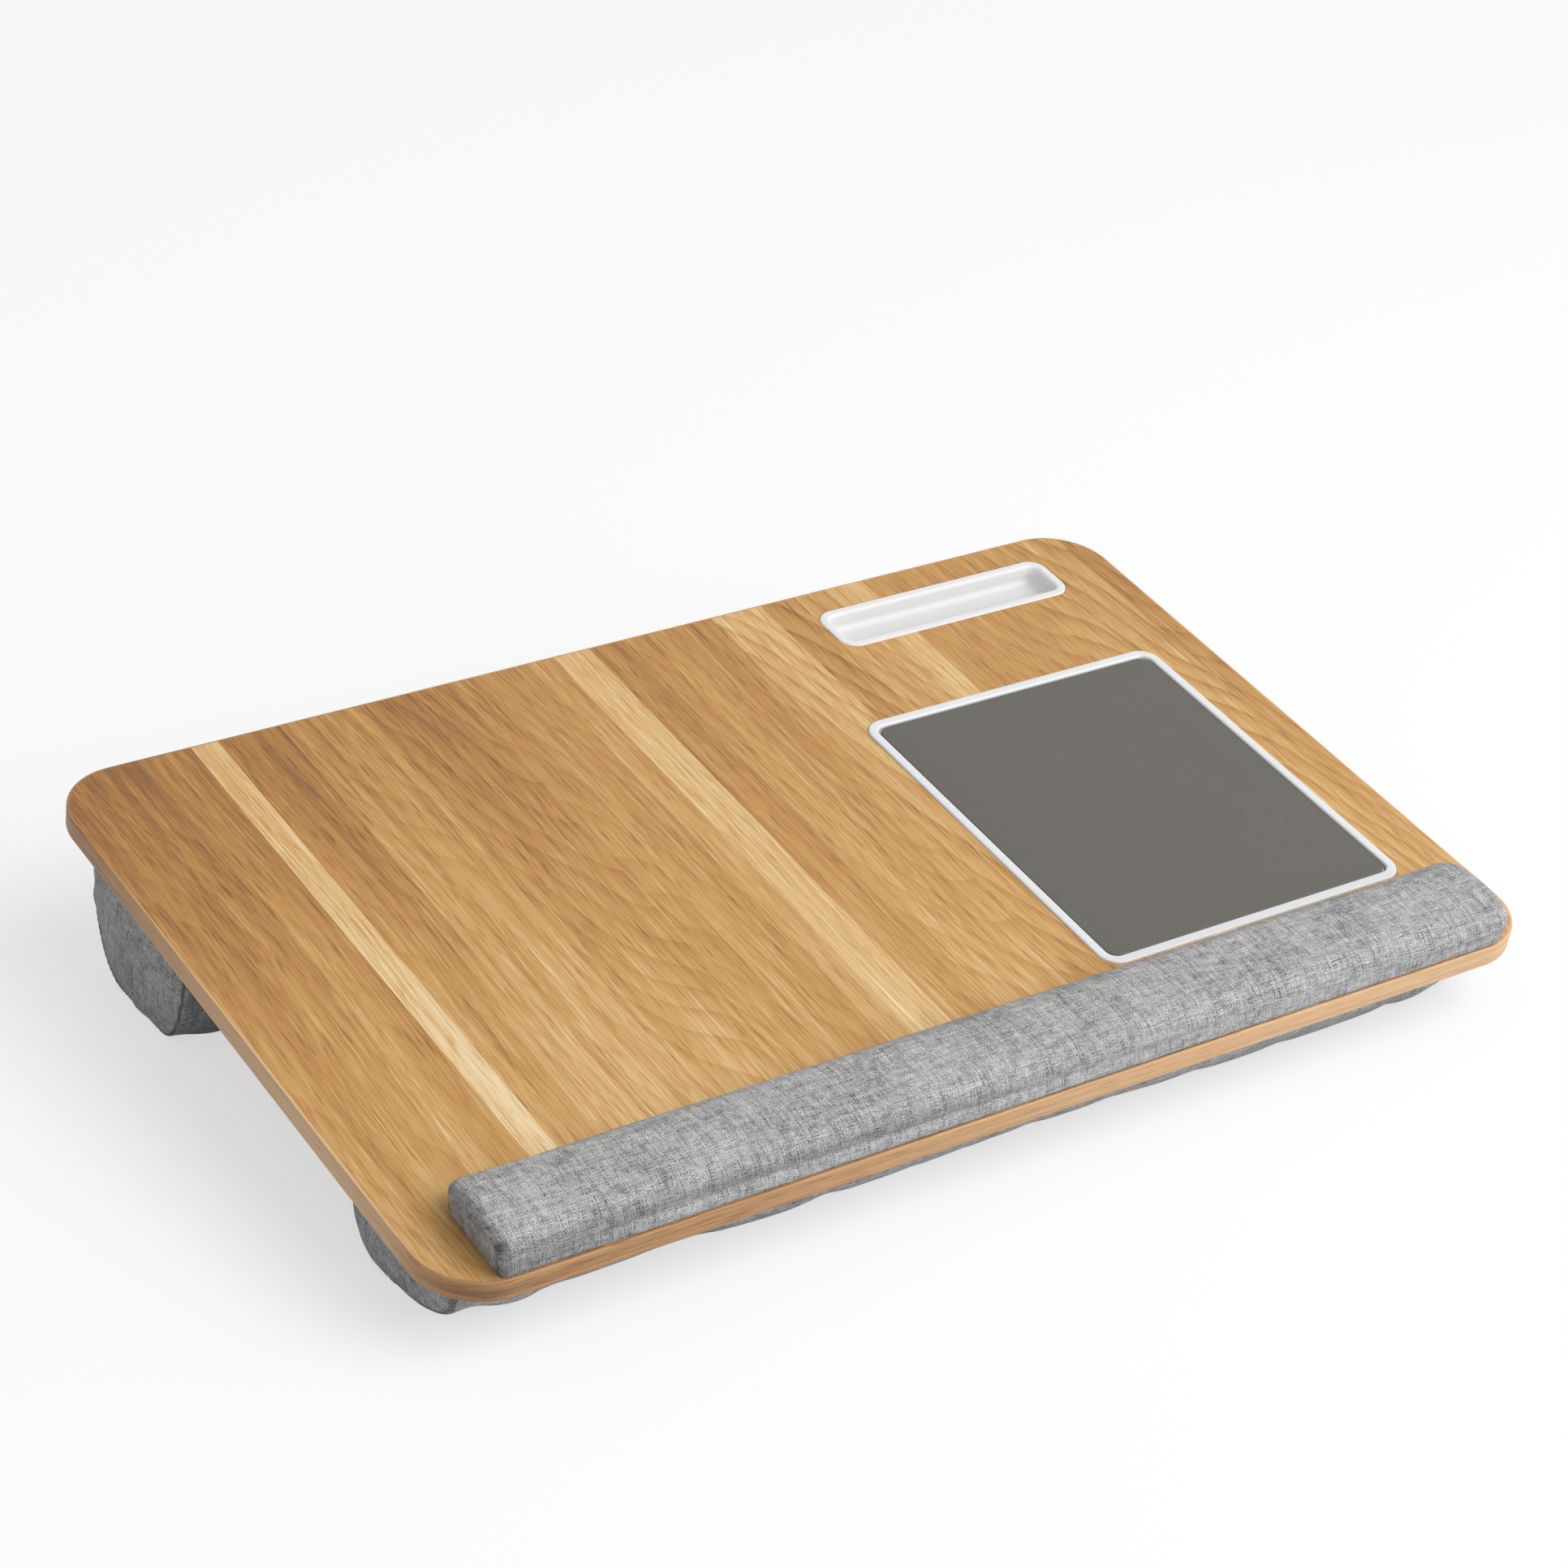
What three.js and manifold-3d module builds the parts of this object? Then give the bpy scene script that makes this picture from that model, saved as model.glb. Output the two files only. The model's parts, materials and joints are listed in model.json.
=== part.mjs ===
// Cushioned laptop tray: an oak-look board on two sewn bolsters, with a padded wrist rest along its
// front edge, a framed mouse pad and a phone trough let into the top.
// Millimetres. X runs along the width, Y from the front edge to the rear edge, Z up. The tray stands on
// z = 0, with its origin under the middle of its footprint. The rear bolster is higher than the front
// one, so the board slopes down towards the lap.
import * as THREE from "three";
import { mergeVertices } from "three/addons/utils/BufferGeometryUtils.js";
import Module from "manifold-3d";

// Board
const BOARD_WIDTH = 556;
const BOARD_DEPTH = 354;
const BOARD_THICKNESS = 10;
const BOARD_CORNER = 30;
const TOP_LAMINATE = 0.8;
const BOTTOM_LAMINATE = 0.6;
const EDGE_BAND = 1.2;
const EDGE_EASE = 0.8;

// Line of glue or running room between faces that touch
const GLUE_LINE = 0.3;

// Mouse pad, let into the right of the top
const PAD_FRAME_WIDTH = 168.5;
const PAD_FRAME_DEPTH = 193;
const PAD_FRAME_CORNER = 10;
const PAD_FRAME_RIM = 5;
const PAD_FRAME_PROUD = 0.8;
const PAD_FRAME_ROUND = 1.1;
const PAD_FROM_RIGHT = 29.5;
const PAD_FROM_FRONT = 58.5;
const PAD_LEATHER = 1;
const PAD_BACKING = 2.5;
const PAD_SINK = 0.7;
const PAD_FIT = 0.4;

// Phone trough, let through the rear right of the top
const INSERT_WIDTH = 133.5;
const INSERT_DEPTH = 31;
const INSERT_CORNER = 9;
const INSERT_FROM_RIGHT = 34;
const INSERT_FROM_REAR = 17;
const INSERT_RIM = 5;
const INSERT_PROUD = 0.4;
const INSERT_FLANGE = 2;
const INSERT_LEDGE = 3;
const INSERT_WALL = 1.4;
const INSERT_FLOOR = 1.2;
const INSERT_FLOOR_RAISE = 0.6;
const INSERT_LIP_ROUND = 1.6;
const INSERT_FLOOR_FILLET = 2.4;
const INSERT_DRAFT = THREE.MathUtils.degToRad(9);

// Wrist rest along the front edge
const REST_LENGTH = 515;
const REST_DEPTH = 47.5;
const REST_HEIGHT = 18.5;
const REST_CORNER = 6;
const REST_SHOULDER = 13;
const REST_SHOULDER_BITE = 1;
const REST_SHOULDER_DROP = 0.8;
const REST_SWELL_HEIGHT = 8;
const REST_CROWN = 1.8;
const REST_TUCK = 0.7;
const REST_FROM_FRONT = 0.6;
const REST_SHIFT = 2.25;
const REST_HEM = 8;
const REST_BASE = 2;
const REST_TAPE_WIDTH = 9;

// Bolsters under the board
const BOLSTER_END_SETBACK = 8;
const FRONT_BOLSTER_FROM_FRONT = 16;
const FRONT_BOLSTER_DEPTH = 79;
const FRONT_BOLSTER_HEIGHT = 35;
const FRONT_BOLSTER_FRONT_ROLL = 18;
const FRONT_BOLSTER_REAR_ROLL = 27;
const FRONT_BOLSTER_END_ROLL = 22;
const FRONT_BOLSTER_END_LIFT = 3.5;
const FRONT_BOLSTER_END_BELLY = 0.5;
const REAR_BOLSTER_FROM_REAR = 26;
const REAR_BOLSTER_DEPTH = 78;
const REAR_BOLSTER_HEIGHT = 66;
const REAR_BOLSTER_FRONT_ROLL = 6;
const REAR_BOLSTER_REAR_ROLL = 36;
const REAR_BOLSTER_END_ROLL = 1;
const REAR_BOLSTER_END_LIFT = 1.5;
const REAR_BOLSTER_END_BELLY = 4;
const BOLSTER_BELLY = 6;
const BOLSTER_END_DOME = 5;
const BOLSTER_END_DRAW = 0.92;
const BOLSTER_ROLL_HANDLE = 0.3;
const BOLSTER_FILL_WAVE = 1.2;
const BOLSTER_FILL_WAVES = 4;
const BOLSTER_BASE = 3;
const BOLSTER_TAPE_WIDTH = 18;

// Sheet goods shared by the cushions
const FABRIC = 1;
const TAPE = 1.1;

// Facets
const CORNER_STEPS = 6;
const ROUND_STEPS = 3;
const CROWN_STEPS = 7;
const WALL_STEPS = 8;
const STATIONS = 16;
const DOME_RINGS = 4;

const LEAST_CORNER = 0.2;
const WELD = 1e-4;

const wasm = await Module();
wasm.setup();

// Board levels, measured up from the top surface at z = 0
const CORE_TOP = -TOP_LAMINATE - GLUE_LINE;
const UNDERSIDE = -BOARD_THICKNESS;
const CORE_BOTTOM = UNDERSIDE + BOTTOM_LAMINATE + GLUE_LINE;
const BAND_INSET = EDGE_BAND + GLUE_LINE;

const MATERIALS = {
  oak: { color: 0xc2955c, roughness: 0.45 },
  oakEdge: { color: 0xc89a68, roughness: 0.5 },
  fibreboard: { color: 0x9b7b56, roughness: 0.85 },
  backing: { color: 0x8d8478, roughness: 0.7 },
  whitePlastic: { color: 0xf0f0ee, roughness: 0.35 },
  leather: { color: 0x706e66, roughness: 0.6 },
  foam: { color: 0xd8d3c4, roughness: 0.95 },
  fabric: { color: 0x9a9a9b, roughness: 0.95 },
  tape: { color: 0xe4e1d8, roughness: 0.6 },
};

function piece(name, geometry, finish) {
  geometry.computeVertexNormals();
  const material = new THREE.MeshStandardMaterial({ metalness: 0, ...MATERIALS[finish] });
  const mesh = new THREE.Mesh(geometry, material);
  mesh.name = name;
  return mesh;
}

// A geometry from points and triangles, turned so that its faces point out.
function closedGeometry(points, triangles) {
  let volume = 0;
  const edge = new THREE.Vector3();
  for (let i = 0; i < triangles.length; i += 3) {
    const [a, b, c] = [0, 1, 2].map((k) => points[triangles[i + k]]);
    volume += a.dot(edge.crossVectors(b, c));
  }
  const geometry = new THREE.BufferGeometry().setFromPoints(points);
  geometry.setIndex(volume < 0 ? triangles.slice().reverse() : triangles);
  return geometry;
}

// Two triangles for each cell between two rows of point numbers. Flipped cells face the other way and
// keep the same diagonal, so that two skins that run alike never cross.
function bridge(triangles, rowA, rowB, closed, flipped = false) {
  const cells = closed ? rowA.length : rowA.length - 1;
  for (let i = 0; i < cells; i++) {
    const j = (i + 1) % rowA.length;
    if (flipped) {
      triangles.push(rowA[i], rowB[j], rowA[j], rowA[i], rowB[i], rowB[j]);
    } else {
      triangles.push(rowA[i], rowA[j], rowB[j], rowA[i], rowB[j], rowB[i]);
    }
  }
}

// A skin through closed rings of equally many points. An open loft is closed by a fan at each end, and
// a closed one runs from its last ring back to its first.
function loft(rings, closed = false) {
  const count = rings[0].length;
  const points = rings.flat();
  const row = (r) => rings[r].map((_, i) => r * count + i);
  const triangles = [];
  for (let r = 0; r + 1 < rings.length; r++) {
    bridge(triangles, row(r), row(r + 1), true);
  }
  if (closed) {
    bridge(triangles, row(rings.length - 1), row(0), true);
    return closedGeometry(points, triangles);
  }
  const fan = (ring, numbers) => {
    const middle = ring.reduce((sum, p) => sum.add(p), new THREE.Vector3()).divideScalar(count);
    points.push(middle);
    for (let i = 0; i < count; i++) {
      triangles.push(numbers[(i + 1) % count], numbers[i], points.length - 1);
    }
  };
  fan(rings[0], row(0));
  fan(rings[rings.length - 1], row(rings.length - 1).reverse());
  return closedGeometry(points, triangles);
}

// A sheet of cloth with thickness, from two grids of points that run alike.
function thickSheet(outer, inner) {
  const rows = outer.length;
  const columns = outer[0].length;
  const points = [...outer.flat(), ...inner.flat()];
  const outerRow = (r) => outer[r].map((_, i) => r * columns + i);
  const innerRow = (r) => inner[r].map((_, i) => (rows + r) * columns + i);
  const triangles = [];
  for (let r = 0; r + 1 < rows; r++) {
    bridge(triangles, outerRow(r), outerRow(r + 1), false);
    bridge(triangles, innerRow(r), innerRow(r + 1), false, true);
  }
  const column = (rowOf, i) => Array.from({ length: rows }, (_, r) => rowOf(r)[i]);
  bridge(triangles, innerRow(0), outerRow(0), false);
  bridge(triangles, outerRow(rows - 1), innerRow(rows - 1), false);
  bridge(triangles, column(outerRow, 0), column(innerRow, 0), false);
  bridge(triangles, column(innerRow, columns - 1), column(outerRow, columns - 1), false);
  return closedGeometry(points, triangles);
}

// A rounded rectangle of points at height z, drawn in by inset on every side.
function roundedRing({ x, y, width, depth, corner }, inset, z) {
  const halfWidth = width / 2 - inset;
  const halfDepth = depth / 2 - inset;
  const most = Math.min(halfWidth, halfDepth) - LEAST_CORNER;
  const radius = Math.min(Math.max(corner - inset, LEAST_CORNER), Math.max(most, LEAST_CORNER / 2));
  const ring = [];
  for (let quarter = 0; quarter < 4; quarter++) {
    const signX = quarter === 0 || quarter === 3 ? 1 : -1;
    const signY = quarter < 2 ? 1 : -1;
    for (let step = 0; step <= CORNER_STEPS; step++) {
      const angle = ((quarter + step / CORNER_STEPS) * Math.PI) / 2;
      const px = x + signX * (halfWidth - radius) + radius * Math.cos(angle);
      const py = y + signY * (halfDepth - radius) + radius * Math.sin(angle);
      ring.push(new THREE.Vector3(px, py, z));
    }
  }
  return ring;
}

// A piece whose section, a list of [inset, z] points, runs round a rounded rectangle.
function moulded(plan, section, closed = false) {
  return loft(
    section.map(([inset, z]) => roundedRing(plan, inset, z)),
    closed,
  );
}

function slab(plan, inset, bottom, top) {
  return moulded(plan, [
    [inset, bottom],
    [inset, top],
  ]);
}

// Points of a quarter round between two [inset, z] points, bulging towards the corner between them.
function quarterRound(from, to, corner, steps = ROUND_STEPS) {
  const curve = new THREE.QuadraticBezierCurve(
    new THREE.Vector2(...from),
    new THREE.Vector2(...corner),
    new THREE.Vector2(...to),
  );
  return curve.getPoints(steps).map((p) => [p.x, p.y]);
}

function solidOf(geometry) {
  const bare = geometry.clone();
  bare.deleteAttribute("normal");
  bare.deleteAttribute("uv");
  const merged = mergeVertices(bare, WELD);
  return new wasm.Manifold(
    new wasm.Mesh({
      numProp: 3,
      vertProperties: new Float32Array(merged.attributes.position.array),
      triVerts: new Uint32Array(merged.index.array),
    }),
  );
}

function cutFrom(geometry, cutters) {
  const solid = cutters.reduce((left, cutter) => left.subtract(solidOf(cutter)), solidOf(geometry));
  const { vertProperties, triVerts } = solid.getMesh();
  const cut = new THREE.BufferGeometry();
  cut.setAttribute("position", new THREE.BufferAttribute(vertProperties, 3));
  cut.setIndex(new THREE.BufferAttribute(triVerts, 1));
  return cut;
}

// Plans on the board, with x from its left edge and y from its front edge
const boardPlan = {
  x: BOARD_WIDTH / 2,
  y: BOARD_DEPTH / 2,
  width: BOARD_WIDTH,
  depth: BOARD_DEPTH,
  corner: BOARD_CORNER,
};
const padPlan = {
  x: BOARD_WIDTH - PAD_FROM_RIGHT - PAD_FRAME_WIDTH / 2,
  y: PAD_FROM_FRONT + PAD_FRAME_DEPTH / 2,
  width: PAD_FRAME_WIDTH,
  depth: PAD_FRAME_DEPTH,
  corner: PAD_FRAME_CORNER,
};
const insertPlan = {
  x: BOARD_WIDTH - INSERT_FROM_RIGHT - INSERT_WIDTH / 2,
  y: BOARD_DEPTH - INSERT_FROM_REAR - INSERT_DEPTH / 2,
  width: INSERT_WIDTH,
  depth: INSERT_DEPTH,
  corner: INSERT_CORNER,
};
const restPlan = {
  x: BOARD_WIDTH / 2 + REST_SHIFT,
  y: REST_FROM_FRONT + REST_DEPTH / 2,
  width: REST_LENGTH,
  depth: REST_DEPTH,
  corner: REST_CORNER,
};

// Levels of the mouse pad's layers, from the rim's top down to the floor of its pocket
const leatherTop = PAD_FRAME_PROUD - PAD_SINK;
const backingTop = leatherTop - PAD_LEATHER - GLUE_LINE;
const padBottom = backingTop - PAD_BACKING;
const pocketFloor = padBottom - GLUE_LINE;

// The trough's flange lies in a rebate, and its body hangs in a slot through the board.
const rebateFloor = -INSERT_FLANGE - GLUE_LINE;
const slotInset = INSERT_LEDGE;

function sheetWithCutouts(bottom, thickness, cutouts) {
  const outline = (ring) => ring.map((p) => new THREE.Vector2(p.x, p.y));
  const shape = new THREE.Shape(outline(roundedRing(boardPlan, BAND_INSET, 0)));
  for (const { plan, inset } of cutouts) {
    shape.holes.push(new THREE.Path(outline(roundedRing(plan, inset, 0))));
  }
  const sheet = new THREE.ExtrudeGeometry(shape, { depth: thickness, bevelEnabled: false });
  return sheet.translate(0, 0, bottom);
}

function boardPieces() {
  const core = cutFrom(slab(boardPlan, BAND_INSET, CORE_BOTTOM, CORE_TOP), [
    slab(padPlan, -GLUE_LINE, pocketFloor, BOARD_THICKNESS),
    slab(insertPlan, -GLUE_LINE, rebateFloor, BOARD_THICKNESS),
    slab(insertPlan, slotInset, UNDERSIDE - BOARD_THICKNESS, BOARD_THICKNESS),
  ]);
  const top = sheetWithCutouts(-TOP_LAMINATE, TOP_LAMINATE, [
    { plan: padPlan, inset: -GLUE_LINE },
    { plan: insertPlan, inset: -GLUE_LINE },
  ]);
  const bottom = sheetWithCutouts(UNDERSIDE, BOTTOM_LAMINATE, [{ plan: insertPlan, inset: slotInset }]);
  const band = moulded(
    boardPlan,
    [
      [EDGE_BAND, 0],
      ...quarterRound([EDGE_EASE, 0], [0, -EDGE_EASE], [0, 0]),
      ...quarterRound([0, UNDERSIDE + EDGE_EASE], [EDGE_EASE, UNDERSIDE], [0, UNDERSIDE]),
      [EDGE_BAND, UNDERSIDE],
    ],
    true,
  );
  return [
    piece("core_board", core, "fibreboard"),
    piece("top_laminate", top, "oak"),
    piece("bottom_laminate", bottom, "backing"),
    piece("edge_band", band, "oakEdge"),
  ];
}

function mousePadPieces() {
  const roundFoot = PAD_FRAME_PROUD - PAD_FRAME_ROUND;
  const frame = moulded(
    padPlan,
    [
      [0, padBottom],
      ...quarterRound([0, roundFoot], [PAD_FRAME_ROUND, PAD_FRAME_PROUD], [0, PAD_FRAME_PROUD]),
      ...quarterRound(
        [PAD_FRAME_RIM - PAD_FRAME_ROUND, PAD_FRAME_PROUD],
        [PAD_FRAME_RIM, roundFoot],
        [PAD_FRAME_RIM, PAD_FRAME_PROUD],
      ),
      [PAD_FRAME_RIM, padBottom],
    ],
    true,
  );
  const layInset = PAD_FRAME_RIM + PAD_FIT;
  return [
    piece("mouse_pad_frame", frame, "whitePlastic"),
    piece("mouse_pad_leather", slab(padPlan, layInset, leatherTop - PAD_LEATHER, leatherTop), "leather"),
    piece("mouse_pad_backing", slab(padPlan, layInset, padBottom, backingTop), "foam"),
  ];
}

// The trough in section, from the middle of its underside, out round the flange, over the rim and down
// the drafted wall to the middle of its floor.
function phoneInsert() {
  const under = UNDERSIDE + INSERT_FLOOR_RAISE;
  const floor = under + INSERT_FLOOR;
  const lean = (z) => (INSERT_PROUD - z) * Math.tan(INSERT_DRAFT);
  const wall = (z) => INSERT_RIM + lean(z);
  const outside = (z) => Math.max(wall(z) - INSERT_WALL, slotInset + GLUE_LINE);
  const flangeFoot = -INSERT_FLANGE;
  const lipFoot = INSERT_PROUD - INSERT_LIP_ROUND;
  const section = [
    [outside(under), under],
    [outside(flangeFoot), flangeFoot],
    [0, flangeFoot],
    ...quarterRound([0, lipFoot], [INSERT_LIP_ROUND, INSERT_PROUD], [0, INSERT_PROUD]),
    ...quarterRound(
      [INSERT_RIM - INSERT_LIP_ROUND, INSERT_PROUD],
      [wall(lipFoot), lipFoot],
      [INSERT_RIM, INSERT_PROUD],
    ),
    ...quarterRound(
      [wall(floor + INSERT_FLOOR_FILLET), floor + INSERT_FLOOR_FILLET],
      [wall(floor) + INSERT_FLOOR_FILLET, floor],
      [wall(floor), floor],
    ),
  ];
  return piece("phone_insert", moulded(insertPlan, section), "whitePlastic");
}

// The wrist rest's upper outline in section, from its foot to its crown.
function restCrown() {
  const shoulderTop = REST_HEIGHT - REST_CROWN;
  const middle = REST_DEPTH / 2 - LEAST_CORNER * 2;
  const side = new THREE.CubicBezierCurve(
    new THREE.Vector2(REST_TUCK, GLUE_LINE),
    new THREE.Vector2(-REST_TUCK, REST_SWELL_HEIGHT),
    new THREE.Vector2(REST_SHOULDER_BITE, shoulderTop - REST_SHOULDER_DROP),
    new THREE.Vector2(REST_SHOULDER, shoulderTop),
  );
  const crown = new THREE.QuadraticBezierCurve(
    new THREE.Vector2(REST_SHOULDER, shoulderTop),
    new THREE.Vector2((REST_SHOULDER + middle) / 2, REST_HEIGHT),
    new THREE.Vector2(middle, REST_HEIGHT),
  );
  return [...side.getPoints(CROWN_STEPS), ...crown.getPoints(ROUND_STEPS).slice(1)];
}

// An outline moved by distance to its right-hand side, with mitred corners.
function offsetOutline(outline, distance) {
  const normals = outline.slice(1).map((point, i) => {
    const along = point.clone().sub(outline[i]).normalize();
    return new THREE.Vector2(along.y, -along.x);
  });
  return outline.map((point, i) => {
    const before = normals[Math.max(i - 1, 0)];
    const after = normals[Math.min(i, normals.length - 1)];
    const mitre = before.clone().add(after).divideScalar(1 + before.dot(after));
    return point.clone().addScaledVector(mitre, distance);
  });
}

function wristRestPieces() {
  const outer = restCrown();
  const middle = outer[outer.length - 1].x;
  const inward = (distance) => offsetOutline(outer, distance).map((p) => [Math.min(p.x, middle), p.y]);
  const hemTop = GLUE_LINE + FABRIC;
  const lining = inward(FABRIC).filter(([, z]) => z > hemTop);
  const liningFoot = REST_TUCK + FABRIC;
  const cover = moulded(restPlan, [
    ...lining.slice().reverse(),
    [liningFoot, hemTop],
    [REST_HEM, hemTop],
    [REST_HEM, GLUE_LINE],
    ...outer.map((p) => [p.x, p.y]),
  ]);
  const baseBottom = hemTop + GLUE_LINE;
  const baseTop = baseBottom + REST_BASE;
  const foamBottom = baseTop + GLUE_LINE;
  const baseInset = liningFoot + GLUE_LINE;
  const foamSide = inward(FABRIC + GLUE_LINE).filter(([, z]) => z > foamBottom);
  const foam = moulded(restPlan, [[baseInset, foamBottom], ...foamSide]);
  const tapeLength = REST_LENGTH - 2 * (REST_HEM + REST_CORNER);
  const tapeTop = baseBottom - GLUE_LINE;
  const tape = (side) => {
    const offset = REST_DEPTH / 2 - REST_HEM - GLUE_LINE - REST_TAPE_WIDTH / 2;
    const strip = new THREE.BoxGeometry(tapeLength, REST_TAPE_WIDTH, tapeTop - GLUE_LINE);
    return strip.translate(restPlan.x, restPlan.y + side * offset, (tapeTop + GLUE_LINE) / 2);
  };
  return [
    piece("wrist_rest_cover", cover, "fabric"),
    piece("wrist_rest_foam", foam, "foam"),
    piece("wrist_rest_base", slab(restPlan, baseInset, baseBottom, baseTop), "fibreboard"),
    piece("wrist_rest_tape_front", tape(-1), "tape"),
    piece("wrist_rest_tape_rear", tape(1), "tape"),
  ];
}

const frontBolster = {
  name: "front_bolster",
  front: FRONT_BOLSTER_FROM_FRONT,
  rear: FRONT_BOLSTER_FROM_FRONT + FRONT_BOLSTER_DEPTH,
  height: FRONT_BOLSTER_HEIGHT,
  frontRoll: FRONT_BOLSTER_FRONT_ROLL,
  rearRoll: FRONT_BOLSTER_REAR_ROLL,
  endRoll: FRONT_BOLSTER_END_ROLL,
  endLift: FRONT_BOLSTER_END_LIFT,
  endBelly: FRONT_BOLSTER_END_BELLY,
};
const rearBolster = {
  name: "rear_bolster",
  front: BOARD_DEPTH - REAR_BOLSTER_FROM_REAR - REAR_BOLSTER_DEPTH,
  rear: BOARD_DEPTH - REAR_BOLSTER_FROM_REAR,
  height: REAR_BOLSTER_HEIGHT,
  frontRoll: REAR_BOLSTER_FRONT_ROLL,
  rearRoll: REAR_BOLSTER_REAR_ROLL,
  endRoll: REAR_BOLSTER_END_ROLL,
  endLift: REAR_BOLSTER_END_LIFT,
  endBelly: REAR_BOLSTER_END_BELLY,
};

// Both soles lie in one plane, whose slope to the board is the tray's tilt.
const middleOf = (bolster) => (bolster.front + bolster.rear) / 2;
const BOLSTER_SPAN = middleOf(rearBolster) - middleOf(frontBolster);
const SLOPE = (rearBolster.height - frontBolster.height) / BOLSTER_SPAN;
const TILT = Math.atan(SLOPE);
const soleAt = (y) => UNDERSIDE - frontBolster.height - (y - middleOf(frontBolster)) * SLOPE;

// Levels from the board's underside down: tape, base panel, filling
const bolsterTop = UNDERSIDE - GLUE_LINE;
const bolsterTapeBottom = bolsterTop - TAPE;
const bolsterBaseTop = bolsterTapeBottom - GLUE_LINE;
const bolsterBaseBottom = bolsterBaseTop - BOLSTER_BASE;
const fillingTop = bolsterBaseBottom - GLUE_LINE;

// How far a bolster is drawn in to its end seams at a station from -1 at the left end to 1 at the right
// end: not at all along the middle, and fully at the seams.
const drawAt = (station) => THREE.MathUtils.smoothstep(Math.abs(station), BOLSTER_END_DRAW, 1);

// A bolster's outline at a station, from the rear top edge, down the bellied rear wall, along the sole and
// up the front wall. The walls run straight down over the base panel's edge, and belly out with soft waves
// of filling. The sole is flat on the ground along the middle and lifts towards the end seams.
function bolsterOutline(bolster, station) {
  const { front, rear, rearRoll } = bolster;
  const draw = drawAt(station);
  const wave = BOLSTER_FILL_WAVE * Math.cos(BOLSTER_FILL_WAVES * Math.PI * station);
  const belly = THREE.MathUtils.lerp(BOLSTER_BELLY + wave, bolster.endBelly, draw);
  const sole = (y) => soleAt(y) + draw * bolster.endLift;
  const waist = (y) => (fillingTop + sole(y)) / 2;
  const roll = bolster.frontRoll + draw * bolster.endRoll;
  const rearFoot = rear - rearRoll;
  const rearHeel = rear - rearRoll * BOLSTER_ROLL_HANDLE;
  const frontFoot = front + roll;
  const frontHeel = front + roll * BOLSTER_ROLL_HANDLE;
  const outline = new THREE.Path();
  outline.moveTo(rear, bolsterTop);
  outline.lineTo(rear, fillingTop);
  outline.bezierCurveTo(rear + belly, waist(rear), rearHeel, sole(rearHeel), rearFoot, sole(rearFoot));
  outline.lineTo(frontFoot, sole(frontFoot));
  outline.bezierCurveTo(frontHeel, sole(frontHeel), front - belly, waist(front), front, fillingTop);
  outline.lineTo(front, bolsterTop);
  return outline.getPoints(WALL_STEPS);
}

const toSection = (outline, x) => outline.map((p) => new THREE.Vector3(x, p.x, p.y));

// Rings that swell from a section's own outline towards the heart of the end, along direction.
function domeRings(section, heart, direction) {
  return Array.from({ length: DOME_RINGS }, (_, k) => {
    const share = 1 - k / DOME_RINGS;
    const rise = direction * BOLSTER_END_DOME * (1 - share * share);
    return section.map((p) => {
      const y = THREE.MathUtils.lerp(heart.x, p.y, share);
      const z = THREE.MathUtils.lerp(heart.y, p.z, share);
      return new THREE.Vector3(p.x + rise, y, z);
    });
  });
}

function bolsterPieces(bolster) {
  const seam = BOARD_WIDTH / 2 - BOLSTER_END_SETBACK - BOLSTER_END_DOME;
  const reach = seam - FABRIC - GLUE_LINE;
  const centre = BOARD_WIDTH / 2;
  const stations = Array.from({ length: STATIONS + 1 }, (_, k) =>
    Math.sin((k / STATIONS - 1 / 2) * Math.PI),
  );
  const outlineAt = (station) => bolsterOutline(bolster, station);
  const outer = stations.map((s) => toSection(outlineAt(s), centre + s * reach));
  const inner = stations.map((s) => toSection(offsetOutline(outlineAt(s), FABRIC), centre + s * reach));
  const filling = stations.map((s) =>
    toSection(offsetOutline(outlineAt(s), FABRIC + GLUE_LINE).slice(1, -1), centre + s * reach),
  );
  const endOutline = outlineAt(1);
  const heart = new THREE.Box2().setFromPoints(endOutline).getCenter(new THREE.Vector2());
  const foam = loft([
    ...domeRings(filling[0], heart, -1).slice(1).reverse(),
    ...filling,
    ...domeRings(filling[STATIONS], heart, 1).slice(1),
  ]);
  const endPanel = (side) => {
    const outside = toSection(endOutline, centre + side * seam);
    const inside = toSection(endOutline, centre + side * (seam - FABRIC));
    return loft([...domeRings(inside, heart, side).reverse(), ...domeRings(outside, heart, side)]);
  };
  const wallInset = FABRIC + GLUE_LINE;
  const baseDepth = bolster.rear - bolster.front - 2 * wallInset;
  const box = (length, depth, y, bottom, top) =>
    new THREE.BoxGeometry(length, depth, top - bottom).translate(centre, y, (bottom + top) / 2);
  const tape = (y) => box(2 * reach, BOLSTER_TAPE_WIDTH, y, bolsterTapeBottom, bolsterTop);
  const tapeEdge = wallInset + BOLSTER_TAPE_WIDTH / 2;
  const { name } = bolster;
  return [
    piece(`${name}_cover`, thickSheet(outer, inner), "fabric"),
    piece(`${name}_end_left`, endPanel(-1), "fabric"),
    piece(`${name}_end_right`, endPanel(1), "fabric"),
    piece(`${name}_foam`, foam, "foam"),
    piece(
      `${name}_base`,
      box(2 * reach, baseDepth, middleOf(bolster), bolsterBaseBottom, bolsterBaseTop),
      "fibreboard",
    ),
    piece(`${name}_tape_front`, tape(bolster.front + tapeEdge), "tape"),
    piece(`${name}_tape_rear`, tape(bolster.rear - tapeEdge), "tape"),
  ];
}

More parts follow.
